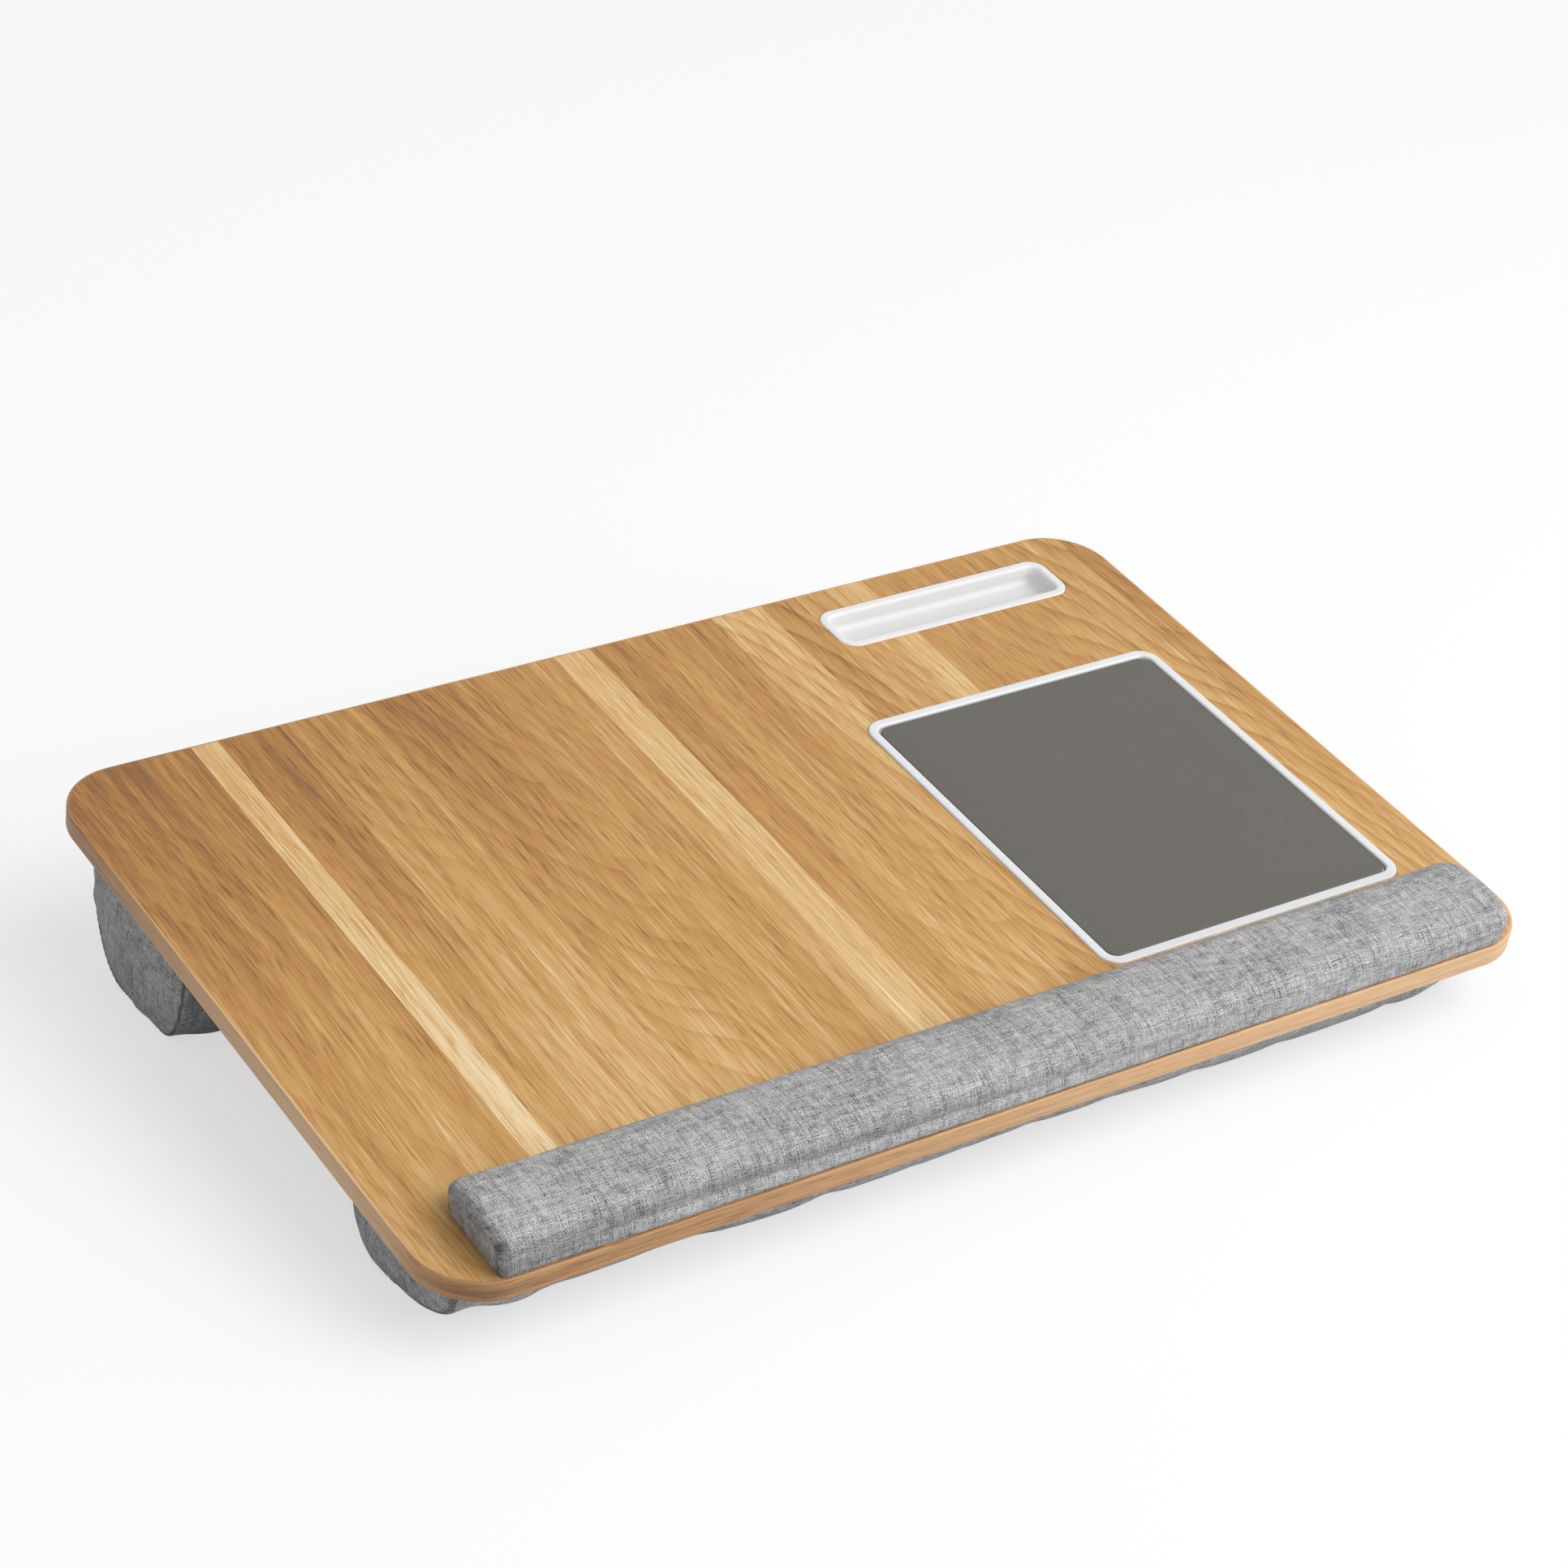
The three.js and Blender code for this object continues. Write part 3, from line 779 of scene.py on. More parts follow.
@dataclass(frozen=True)
class OakEdge:
    """Satin oak-look strip with the grain along the edge.

    The stops round the edge give a share of the way round and how pale it is there: partly the strip's own
    tone, partly painted shade and light, darkest just past the front-left corner, darker towards the rear of
    the left edge and paler towards the right of the front.
    """

    name: str = "oak_edge_strip"
    tones: Ramp = (
        (0.0, (0.215, 0.105, 0.042)), (0.2, (0.375, 0.196, 0.083)), (0.4, (0.50, 0.285, 0.132)),
        (0.7, (0.635, 0.40, 0.21)), (1.0, (0.75, 0.53, 0.315)))
    run_m: float = 1.768
    tone_and_shade_round: tuple[Point2, ...] = (
        (0.0, 0.6), (0.342, 0.24), (0.4, 0.66), (0.46, 0.84), (0.489, 0.69), (0.513, 0.09), (0.526, 0.25),
        (0.583, 0.36), (0.73, 0.75), (1.0, 0.7))
    bend: Layer = Layer(9.0, 60.0, 0.0, 2.0, weight=0.004)
    bands: Layer = Layer(6.0, 420.0, 0.0, 3.0, 0.6, weight=0.75)
    pores: Layer = Layer(55.0, 1300.0, 4.0, weight=-0.26, mask=(0.54, 0.72))
    broad: Layer = Layer(2.2, 0.0, 8.0, weight=0.3)

    def material(self) -> bpy.types.Material:
        """Build the material.

        Returns:
            The material.
        """
        g = Graph(self.name)
        u, v, _ = g.split(g.mapped("grain"))
        bent = g.add(v, g.times(g.layer(self.bend, u, v)[0], self.bend.weight))
        bands = g.layer(self.bands, u, bent)[0]
        pores = g.span(g.layer(self.pores, u, bent)[0], *self.pores.mask)
        broad = g.layer(self.broad, u, v)[0]
        # Paleness round the edge: partly the strip's own tone, partly painted shade and light.
        run = g.ramp(g.math("DIVIDE", u, self.run_m), [(at, (level,) * 3) for at, level in self.tone_and_shade_round])
        level = g.add(run, g.swing(bands, self.bands.weight), g.times(pores, self.pores.weight),
                      g.swing(broad, self.broad.weight))
        g.dress(Base_Color=g.ramp(level, self.tones), Roughness=g.ranged(bands, 0.46, 0.56),
                Specular_IOR_Level=0.4)
        g.bump(bands, depth_mm=0.06, strength=0.5)
        return g.material


@dataclass(frozen=True)
class MelangeWeave:
    """Plain weave of melange yarns: every yarn changes its grey along its length."""

    name: str = "grey_melange_weave"
    pitch_mm: float = 0.70
    tones: Ramp = (
        (0.0, (0.11, 0.111, 0.117)), (0.25, (0.27, 0.272, 0.279)), (0.55, (0.55, 0.547, 0.548)),
        (0.8, (0.76, 0.752, 0.74)), (1.0, (0.86, 0.85, 0.825)))
    drift: Layer = Layer(0.05, 0.05, 0.0, 2.0, weight=2.6)
    uneven: Layer = Layer(0.31, 0.31, weight=1.1)
    patches: Layer = Layer(0.022, 0.022, 7.0, 2.0, weight=0.16)
    mottle: Layer = Layer(0.15, 0.15, 3.0, 2.0, weight=0.24)
    slubs: Layer = Layer(5.17, 0.055, weight=0.60)
    flecks: Layer = Layer(9.31, 0.34, 20.0, weight=0.42)
    contrast: Point2 = (0.27, 0.75)
    # Painted shade: paler crowns and darker gaps between the yarns, and how dark the cushions' per-vertex
    # painted shade makes the colour.
    crown_from: float = 0.75
    crown_shade: float = 1.02
    gap_shade: float = 0.66
    painted_shade_darkest: float = 0.36

    WARP_SEED: ClassVar[float] = 1.7
    WEFT_SEED: ClassVar[float] = 63.1

    def material(self) -> bpy.types.Material:
        """Build the material.

        Returns:
            The material.
        """
        g = Graph(self.name)
        u, v, _ = g.split(g.mapped("weave"))
        u, v = (g.math("DIVIDE", part, self.pitch_mm * MM) for part in (u, v))
        drift, uneven = (g.channels(g.layer(layer, u, v)[1]) for layer in (self.drift, self.uneven))
        u, v = (g.add(part, g.times(drift[i], self.drift.weight), g.times(uneven[i], self.uneven.weight))
                for i, part in enumerate((u, v)))
        yarn_u, yarn_v = (g.math("FLOOR", part) for part in (u, v))
        round_u, round_v = (g.math("COSINE", g.swing(g.math("FRACT", part), math.pi)) for part in (u, v))
        over = g.math("GREATER_THAN", g.math("FLOORED_MODULO", g.add(yarn_u, yarn_v), 2.0), 0.5)
        relief = g.blend(over, g.times(round_u, g.span(round_v, 0.0, 1.0, 0.5, 1.0)),
                         g.times(round_v, g.span(round_u, 0.0, 1.0, 0.5, 1.0)))
        warp, weft = self.yarn(g, yarn_u, v, self.WARP_SEED), self.yarn(g, yarn_v, u, self.WEFT_SEED)
        clouds = (g.swing(g.layer(layer, u, v)[0], layer.weight) for layer in (self.patches, self.mottle))
        tone = g.add(g.blend(over, warp, weft), *clouds)
        # Painted shade: darker in the gaps between yarns, a touch paler on their crowns, and darker by the
        # cushions' per-vertex painted shade.
        painted_shade_amount = g.node("ShaderNodeAttribute", attribute_name="painted_shade")["Fac"]
        shade = g.times(g.span(relief, 0.0, self.crown_from, self.gap_shade, self.crown_shade),
                        g.span(painted_shade_amount, 0.0, 1.0, 1.0, self.painted_shade_darkest))
        colour = g.ramp(g.span(tone, *self.contrast), self.tones)
        g.dress(Base_Color=g.mix(1.0, colour, g.grey(shade), "MULTIPLY"), Roughness=0.93,
                Specular_IOR_Level=0.2, Sheen_Weight=0.12, Sheen_Roughness=0.5)
        g.bump(relief, depth_mm=0.34, strength=0.9)
        return g.material

    def yarn(self, g: Graph, index: Any, along: Any, seed: float) -> Socket:
        """Return the tone along one set of yarns: long slubs and short flecks.

        Args:
            g: graph of the material.
            index: number of the yarn.
            along: distance along it, in yarns.
            seed: place of the set in the noise.

        Returns:
            The tone of the yarn.
        """
        parts = (g.times(g.layer(layer, index, along, seed + layer.cut)[0], layer.weight)
                 for layer in (self.slubs, self.flecks))
        return g.add(*parts)


@dataclass(frozen=True)
class MouldedPlastic:
    """Satin moulded plastic with a faint spark-eroded texture.

    It may carry painted shade that grows towards a depth and painted light on the walls that face left.
    """

    name: str = "white_moulding"
    colour: Colour = (0.74, 0.75, 0.765)
    roughness: float = 0.34
    depth_mm: float = 9.0
    rim_mm: float = 0.6
    # Painted shade deep down and painted light on the walls that face left:
    painted_depth_shade: float = 1.0
    painted_left_light: float = 0.0
    left_facing: Point2 = (-0.9, -0.2)

    def material(self) -> bpy.types.Material:
        """Build the material.

        Returns:
            The material.
        """
        g = Graph(self.name)
        point = g.place()
        patchy = g.noise(point, scale=26.0)[0]
        # Painted light on walls that face left and painted shade towards the depth, multiplied into the
        # colour.
        facing, _, _ = g.split(g.node("ShaderNodeNewGeometry")["Normal"])
        painted_light_factor = g.span(facing, *self.left_facing, 1.0 + self.painted_left_light, 1.0)
        painted_shade_factor = g.span(g.height(), -self.depth_mm * MM, -self.rim_mm * MM, self.painted_depth_shade, 1.0)
        body = g.mix(patchy, toned(self.colour, 0.965), self.colour)
        g.dress(Base_Color=g.mix(1.0, body, g.grey(g.times(painted_light_factor, painted_shade_factor)), "MULTIPLY"),
                Roughness=g.ranged(patchy, self.roughness - 0.04, self.roughness + 0.05),
                Specular_IOR_Level=0.45)
        g.bump(g.noise(point, scale=2600.0, detail=1.0)[0], depth_mm=0.02, strength=0.25)
        return g.material


@dataclass(frozen=True)
class GrainedLeather:
    """Matt synthetic leather with a fine pebble grain."""

    name: str = "taupe_leather"
    colour: Colour = (0.114, 0.107, 0.092)
    pebble: float = 780.0
    wander_m: float = 0.0011

    def material(self) -> bpy.types.Material:
        """Build the material.

        Returns:
            The material.
        """
        g = Graph(self.name)
        point = g.place()
        wander = g.node("ShaderNodeVectorMath", (g.noise(point, scale=320.0)[1], (self.wander_m,) * 3, point),
                        operation="MULTIPLY_ADD")[0]
        crease = g.span(g.cells(wander, self.pebble, "DISTANCE_TO_EDGE"), 0.0, 0.16, smooth=True)
        cloud = g.noise(point, scale=30.0, detail=3.0)[0]
        body = g.mix(g.ranged(cloud), self.colour, toned(self.colour, 1.12))
        # The creases of the pebble grain get painted shade.
        g.dress(Base_Color=g.mix(crease, toned(self.colour, 0.87), body),
                Roughness=g.ranged(cloud, 0.52, 0.62), Specular_IOR_Level=0.38)
        g.bump(crease, depth_mm=0.12, strength=0.45)
        return g.material


@dataclass(frozen=True)
class Speckled:
    """Matt finish of two tones mixed by grain: fibreboard, sheet, foam, tape."""

    name: str
    low: Colour
    high: Colour
    grain: float
    roughness: float
    relief_mm: float
    cellular: bool = False

    def material(self) -> bpy.types.Material:
        """Build the material.

        Returns:
            The material.
        """
        g = Graph(self.name)
        if self.cellular:
            tone = g.span(g.cells(g.place(), self.grain), 0.05, 0.6)
        else:
            tone = g.span(g.noise(g.place(), self.grain, detail=4.0, roughness=0.65)[0], 0.32, 0.68)
        g.dress(Base_Color=g.mix(tone, self.low, self.high), Roughness=self.roughness,
                Specular_IOR_Level=0.25)
        g.bump(tone, self.relief_mm, strength=0.6)
        return g.material


@dataclass(frozen=True)
class SewingThread:
    """Twisted grey thread."""

    name: str = "seam_thread"
    colour: Colour = (0.145, 0.147, 0.155)

    def material(self) -> bpy.types.Material:
        """Build the material.

        Returns:
            The material.
        """
        g = Graph(self.name)
        twist = g.noise(g.place(), scale=3200.0, detail=1.0)[0]
        g.dress(Base_Color=g.mix(twist, toned(self.colour, 0.6), self.colour), Roughness=0.8,
                Specular_IOR_Level=0.25)
        g.bump(twist, depth_mm=0.06, strength=0.5)
        return g.material


class Palette:
    """The finishes of the tray, each built once."""

    def __init__(self) -> None:
        """Build every material."""
        self.oak = OakTop().material()
        self.edge = OakEdge().material()
        self.weave = MelangeWeave().material()
        self.white = MouldedPlastic().material()
        # The trough's finish carries painted shade towards its floor and painted light on its walls that face
        # left.
        self.trough = MouldedPlastic("trough_moulding", colour=(0.76, 0.76, 0.752), roughness=0.56,
                                     painted_depth_shade=0.87, painted_left_light=0.24).material()
        self.leather = GrainedLeather().material()
        self.sheet = Speckled("matt_backing_sheet", (0.225, 0.19, 0.155), (0.31, 0.27, 0.225), grain=140.0,
                              roughness=0.72, relief_mm=0.04).material()
        self.fibre = Speckled("raw_fibreboard", (0.26, 0.155, 0.07), (0.40, 0.26, 0.135), grain=900.0,
                              roughness=0.85, relief_mm=0.12).material()
        self.foam = Speckled("open_foam", (0.52, 0.48, 0.40), (0.72, 0.68, 0.59), grain=700.0,
                             roughness=0.95, relief_mm=0.4, cellular=True).material()
        self.tape = Speckled("mounting_tape", (0.70, 0.67, 0.59), (0.80, 0.77, 0.70), grain=420.0,
                             roughness=0.6, relief_mm=0.05).material()
        self.thread = SewingThread().material()

    def for_slot(self, slot: str) -> bpy.types.Material:
        """Return the material of a slot of the record, for the CAD nodes that stay.

        Args:
            slot: name of the slot.

        Returns:
            The material.
        """
        return {"fibreboard": self.fibre, "foam": self.foam, "tape": self.tape, "backing_sheet": self.sheet,
                "white_plastic": self.white, "pad_leather": self.leather, "oak_laminate": self.oak,
                "oak_edge": self.edge, "grey_weave": self.weave}[slot]


def hand_over(piece: bpy.types.Object, material: bpy.types.Material, slot: str, *nodes: str) -> None:
    """Give a finished piece its material and its body, and hide the CAD nodes that it stands for.

    Args:
        piece: the finished object.
        material: its only material.
        slot: slot of the record that the material belongs to; not used.
        nodes: CAD nodes that it replaces, if any.
    """
    piece.data.materials.clear()
    piece.data.materials.append(material)
    if nodes:
        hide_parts(*nodes)
    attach(piece, BODY)
    LOG.info("%s: %d faces, replaces %s", piece.name, len(piece.data.polygons), ", ".join(nodes) or "nothing")


# Board, mouse pad and trough


@dataclass(frozen=True)
class MousePad:
    """Moulded frame let into the board, with a leather pad inside it."""

    width: float = 168.5
    depth: float = 193.0
    corner: float = 10.0
    from_right: float = 29.5
    from_front: float = 58.5
    rim: float = 5.0
    proud: float = 0.8
    edge_round: float = 1.1
    sink: float = 3.5
    leather_top: float = 0.1
    leather: float = 1.0
    leather_roll: float = 0.8
    leather_crown: float = 0.25
    leather_corner: float = 12.0
    crown_from: float = 0.8
    crown_to: float = 14.0
    crown_steps: tuple[float, ...] = (3.0, 6.0, 10.0, 15.0)
    fit: float = 0.4
    cut_room: float = 0.15

    def plan(self, corner: float) -> Plan:
        """Return the outline of the frame, with corners of a radius."""
        left = BOARD.width - self.from_right - self.width
        return Plan(left, self.from_front, self.width, self.depth, corner)

    def hole(self) -> list[Point2]:
        """Return the outline of the cut-out in the top."""
        return self.plan(self.corner).ring(-self.cut_room)

    def build(self, palette: Palette) -> None:
        """Build the frame and the leather.

        Args:
            palette: finishes of the tray.
        """
        r, rim = self.edge_round, self.rim
        section = [(0.0, -self.sink), *arc((r, self.proud - r), r, 180, 90),
                   *arc((rim - r, self.proud - r), r, 90, 0), (rim, -self.sink)]
        rim_shape = swept(self.plan(self.corner), section, closed=True)
        rim_piece = rim_shape.piece("mouse_pad_rim", sharp_deg=40.0)
        hand_over(rim_piece, palette.white, "white_plastic", "mouse_pad_frame")

        top, roll, start = self.leather_top, self.leather_roll, rim + self.fit
        section = [(start, top - self.leather), *arc((start + roll, top - roll), roll, 180, 90)]
        section += [(start + d, top + self.leather_crown * smoothstep(d, self.crown_from, self.crown_to))
                    for d in self.crown_steps]
        leather_shape = swept(self.plan(self.leather_corner), section, closed=False)
        leather = leather_shape.piece("mouse_pad_top", sharp_deg=60.0)
        hand_over(leather, palette.leather, "pad_leather", "mouse_pad_leather")


@dataclass(frozen=True)
class PhoneTrough:
    """Moulded trough let through the board, with a soft rim and drafted walls."""

    width: float = 133.5
    depth: float = 31.0
    corner: float = 9.0
    from_right: float = 34.0
    from_rear: float = 17.0
    rim: float = 5.0
    proud: float = 0.4
    edge_round: float = 1.0
    flange: float = 2.2
    ledge: float = 3.0
    floor_thickness: float = 1.2
    floor_raise: float = 0.6
    floor_bevel: float = 2.0
    floor_steps: tuple[float, ...] = (1.5, 3.0)
    lip_round: float = 1.8
    fillet: float = 3.4
    draft_deg: float = 9.0
    cut_room: float = 0.2
    round_steps: int = 8

    @property
    def plan(self) -> Plan:
        """Return the outline of the rim."""
        return Plan(BOARD.width - self.from_right - self.width, BOARD.depth - self.from_rear - self.depth,
                    self.width, self.depth, self.corner)

    def build(self, palette: Palette) -> None:
        """Build the trough.

        Args:
            palette: finishes of the tray.
        """
        under = -BOARD.thickness + self.floor_raise
        floor = under + self.floor_thickness
        r, lip, fillet, seat = self.edge_round, self.lip_round, self.fillet, self.proud - self.flange
        lean = math.tan(math.radians(self.draft_deg))
        foot = self.rim + (self.proud - lip - floor - fillet) * lean + fillet
        section = [(self.rim, under), (self.ledge, under + self.floor_bevel), (self.ledge, seat), (0.0, seat),
                   *arc((r, self.proud - r), r, 180, 90),
                   *arc((self.rim - lip, self.proud - lip), lip, 90, self.draft_deg, self.round_steps),
                   *arc((foot, floor + fillet), fillet, 180, 270, self.round_steps),
                   *((foot + step, floor) for step in self.floor_steps)]
        trough = swept(self.plan, section, closed=False).piece("phone_trough", sharp_deg=40.0)
        hand_over(trough, palette.trough, "white_plastic", "phone_insert")


@dataclass(frozen=True)
class Board:
    """The board's visible skins: the oak top, the edge strip and the sheet underneath."""

    corner: float = 30.0
    corner_steps: int = 24
    top: float = 0.8
    bottom: float = 0.6
    band: float = 1.2
    ease: float = 0.8

    @property
    def plan(self) -> Plan:
        """Return the outline of the board."""
        return Plan(0.0, 0.0, BOARD.width, BOARD.depth, self.corner, self.corner_steps)

    def build(self, palette: Palette, pad: MousePad, trough: PhoneTrough) -> None:
        """Build the three skins.

        Args:
            palette: finishes of the tray.
            pad: mouse pad, for the cut-out of its frame.
            trough: phone trough, for its cut-outs.
        """
        low, ease = -BOARD.thickness, self.ease
        top = self.skin("oak_veneer", 0.0, -self.top, [pad.hole(), trough.plan.ring(-trough.cut_room)])
        hand_over(top, palette.oak, "oak_laminate", "top_laminate")
        sheet = self.skin("underside_sheet", low + self.bottom, low,
                          [trough.plan.ring(trough.ledge - trough.cut_room)])
        hand_over(sheet, palette.sheet, "backing_sheet", "bottom_laminate")
        section = [(self.band, low), *arc((ease, low + ease), ease, 270, 180),
                   *arc((ease, -ease), ease, 180, 90), (self.band, 0.0)]
        band = swept(self.plan, section, closed=True).piece("edge_strip", sharp_deg=50.0)
        hand_over(band, palette.edge, "oak_edge", "edge_band")

    def skin(self, name: str, high: float, low: float, holes: Sequence[Sequence[Point2]]) -> bpy.types.Object:
        """Make a flat sheet with holes between two heights.

        Args:
            name: name of the object.
            high: height of its upper face.
            low: height of its lower face.
            holes: outlines of its holes.

        Returns:
            The sheet as an object.
        """
        bm = bmesh.new()
        edges = []
        for ring in (self.plan.ring(self.band), *holes):
            loop = [bm.verts.new(BOARD.world(x, y, low)) for x, y in ring]
            edges += [bm.edges.new(pair) for pair in zip(loop, loop[1:] + loop[:1])]
        faces = bmesh.ops.triangle_fill(bm, edges=edges, use_beauty=True)["geom"]
        faces = [f for f in faces if isinstance(f, bmesh.types.BMFace)]
        raised = bmesh.ops.extrude_face_region(bm, geom=faces, use_keep_orig=True)["geom"]
        lift = BOARD.turn((0.0, 0.0, (high - low) * MM))
        bmesh.ops.translate(bm, vec=lift, verts=[v for v in raised if isinstance(v, bmesh.types.BMVert)])
        return finished(name, bpy.data.meshes.new(name), bm, sharp_deg=35.0)


# Cushions


@dataclass(frozen=True)
class ClothFill:
    """Filling of a cushion: the cover is blown up from inside, held by its pinned vertices."""

    pressure: float = 4.0
    last_frame: int = 20
    most_mm: float = 4.0
    quality: int = 6
    mass: float = 0.25
    tension: float = 12.0
    shear: float = 5.0
    bending: float = 0.6
    fullness: float = -0.01
    gather: float = 0.004

    def inflate(self, piece: bpy.types.Object, pins: Sequence[float], gathers: Sequence[float]) -> None:
        """Run the simulation and write its result, with a limit to every movement, into the mesh.

        Args:
            piece: closed cover.
            pins: how firmly each vertex is held, from 0 to 1.
            gathers: how far each vertex is drawn together, from 0 to 1.
        """
        for name, weights in (("pin", pins), ("gather", gathers)):
            group = piece.vertex_groups.new(name=name)
            for index, weight in enumerate(weights):
                if weight > 0.0:
                    group.add([index], weight, "REPLACE")
        modifier = piece.modifiers.new("fill", "CLOTH")
        cloth = modifier.settings
        cloth.quality = self.quality
        cloth.mass = self.mass
        cloth.tension_stiffness = cloth.compression_stiffness = self.tension
        cloth.shear_stiffness = self.shear
        cloth.bending_stiffness = self.bending
        cloth.use_pressure = True
        cloth.uniform_pressure_force = self.pressure
        cloth.vertex_group_mass = "pin"
        cloth.vertex_group_shrink = "gather"
        cloth.shrink_min, cloth.shrink_max = self.fullness, self.gather
        cloth.effector_weights.gravity = 0.0
        modifier.collision_settings.use_collision = False
        modifier.point_cache.frame_start, modifier.point_cache.frame_end = 1, self.last_frame
        scene = bpy.context.scene
        for number in range(1, self.last_frame + 1):
            scene.frame_set(number)
        settled = piece.evaluated_get(bpy.context.evaluated_depsgraph_get()).to_mesh()
        moves = [b.co - a.co for a, b in zip(piece.data.vertices, settled.vertices)]
        piece.modifiers.remove(modifier)
        piece.vertex_groups.clear()
        scene.frame_set(1)
        limit = self.most_mm * MM
        for vertex, move in zip(piece.data.vertices, moves):
            vertex.co += move * (limit * math.tanh(move.length / limit) / max(move.length, TINY))


@dataclass
class Cushion:
    """A sewn cushion: a wrap round a run of stations, closed by a panel at each end."""

    name: str
    fill: ClothFill
    firmness: float = 0.8
    panel_dome: float = 0.0
    panel_offsets: tuple[float, ...] = (1.3, 3.0, 5.5, 9.0)
    panel_shares: tuple[float, ...] = (0.72, 0.5, 0.28, 0.1)

    LEAST_SHARE_GAP: ClassVar[float] = 0.03
    DOME_POWER: ClassVar[float] = 2.5
    PANEL_MAP_M: ClassVar[float] = 2.0

    def stations(self) -> list[Station]:
        """Return the x and the closed outline of (y, z) points of each station."""
        raise NotImplementedError

    def nodes(self) -> list[str]:
        """Return the CAD nodes that the cushion stands for."""
        raise NotImplementedError

    def pin(self, place: Vector) -> float:
        """Return how firmly the cover is held at a place of the board's frame."""
        raise NotImplementedError

    def lean(self, x: float, z: float) -> float:
        """Return the x of a point of an end, which may lean with its height."""
        return x

    def settle(self, place: Vector) -> Vector:
        """Return a vertex of the board's frame kept clear of its neighbours."""
        return place

    def painted_shade(self, place: Vector, on_seam: bool) -> float:
        """Return how much painted shade a vertex gets, from 0 to 1: full on the end seams."""
        return 1.0 if on_seam else 0.0

    def detail(self, piece: bpy.types.Object, on_seam: set[int]) -> None:
        """Work the sewing into the filled cover, whose seam vertices are given."""

    def ring(self, x: float, outline: Sequence[Point2]) -> list[Vector]:
        """Return an outline at a place along the cushion, in the world."""
        return [BOARD.world(self.lean(x, z), y, z) for y, z in outline]

    def make(self) -> tuple[bpy.types.Object, list[list[int]]]:
        """Make the cover's rest shape.

        Returns:
            The closed cover and the vertex indices of its two end seams.
        """
        shape = Shape()
        stations = self.stations()
        rings = [self.ring(*station) for station in stations]
        starts = [shape.add_ring(ring) for ring in rings]
        along = lengths(rings[len(rings) // 2])
        rows = [[(x * MM, a) for a in along] for x, _ in stations]
        for k in range(len(rings) - 1):
            shape.bridge(starts[k], starts[k + 1], rows[k], rows[k + 1])
        for end, side in ((0, -1), (-1, 1)):
            self.close(shape, stations[end], starts[end], side)
        seams = [list(range(starts[end], starts[end] + len(rings[0]))) for end in (0, -1)]
        return shape.piece(self.name, map_name="weave"), seams

    def close(self, shape: Shape, station: Station, start: int, side: int) -> None:
        """Close an end with a panel of shrinking rings.

        Args:
            shape: cover in the making.
            station: x and outline of the end.
            start: index of the first vertex of the end's ring.
            side: -1 for the left end, 1 for the right.
        """
        x, outline = station
        count = len(outline)
        heart = (sum(p[0] for p in outline) / count, sum(p[1] for p in outline) / count)
        reach = min(math.dist(p, heart) for p in outline)
        shares = [1.0 - d / reach for d in self.panel_offsets]
        shares = [s for s in shares if s > self.panel_shares[0] + self.LEAST_SHARE_GAP]

        def mapped(points: Sequence[Point2]) -> list[Point2]:
            """Return the map points of a ring, and back at its start."""
            return [(self.PANEL_MAP_M * side + y * MM, z * MM) for y, z in (*points, points[0])]

        previous, flat = start, mapped(outline)
        for share in (*shares, *self.panel_shares):
            inner = [(lerp(heart[0], y, share), lerp(heart[1], z, share)) for y, z in outline]
            out = x + side * self.panel_dome * (1.0 - share ** self.DOME_POWER)
            here = shape.add_ring(self.ring(out, inner))
            inner = mapped(inner)
            shape.bridge(previous, here, flat, inner)
            previous, flat = here, inner
        tip = shape.add_ring(self.ring(x + side * self.panel_dome, [heart]))
        middle = mapped([heart])[0]
        for i in range(count):
            shape.add_face((previous + i, previous + (i + 1) % count, tip), (flat[i], flat[i + 1], middle))

    def build(self, palette: Palette) -> list[list[Vector]]:
        """Make, fill, settle and smooth the cushion.

        Args:
            palette: finishes of the tray.

        Returns:
            The path of each end seam on the finished cover.
        """
        piece, seams = self.make()
        places = [BOARD.local(v.co) for v in piece.data.vertices]
        on_seam = {index for seam in seams for index in seam}
        gathers = [float(i in on_seam) for i in range(len(places))]
        self.fill.inflate(piece, [self.pin(p) for p in places], gathers)
        self.detail(piece, on_seam)
        # Painted shade per vertex, which darkens the weave's colour: the seams, folds and faces turned from
        # the light.
        painted_shade_layer = piece.data.attributes.new("painted_shade", "FLOAT", "POINT")
        for vertex in piece.data.vertices:
            local = self.settle(BOARD.local(vertex.co))
            vertex.co = BOARD.world(*local)
            painted_shade_layer.data[vertex.index].value = self.painted_shade(local, vertex.index in on_seam)
        smooth = piece.modifiers.new("smooth", "SUBSURF")
        smooth.levels = smooth.render_levels = 1
        evaluated_mesh(piece, smooth)
        piece.data.shade_smooth()
        paths = [[piece.data.vertices[i].co.copy() for i in seam] for seam in seams]
        hand_over(piece, palette.weave, "grey_weave", *self.nodes())
        return paths


class BolsterPlace(Enum):
    """Which of the two bolsters under the board."""

    FRONT = "front"
    REAR = "rear"


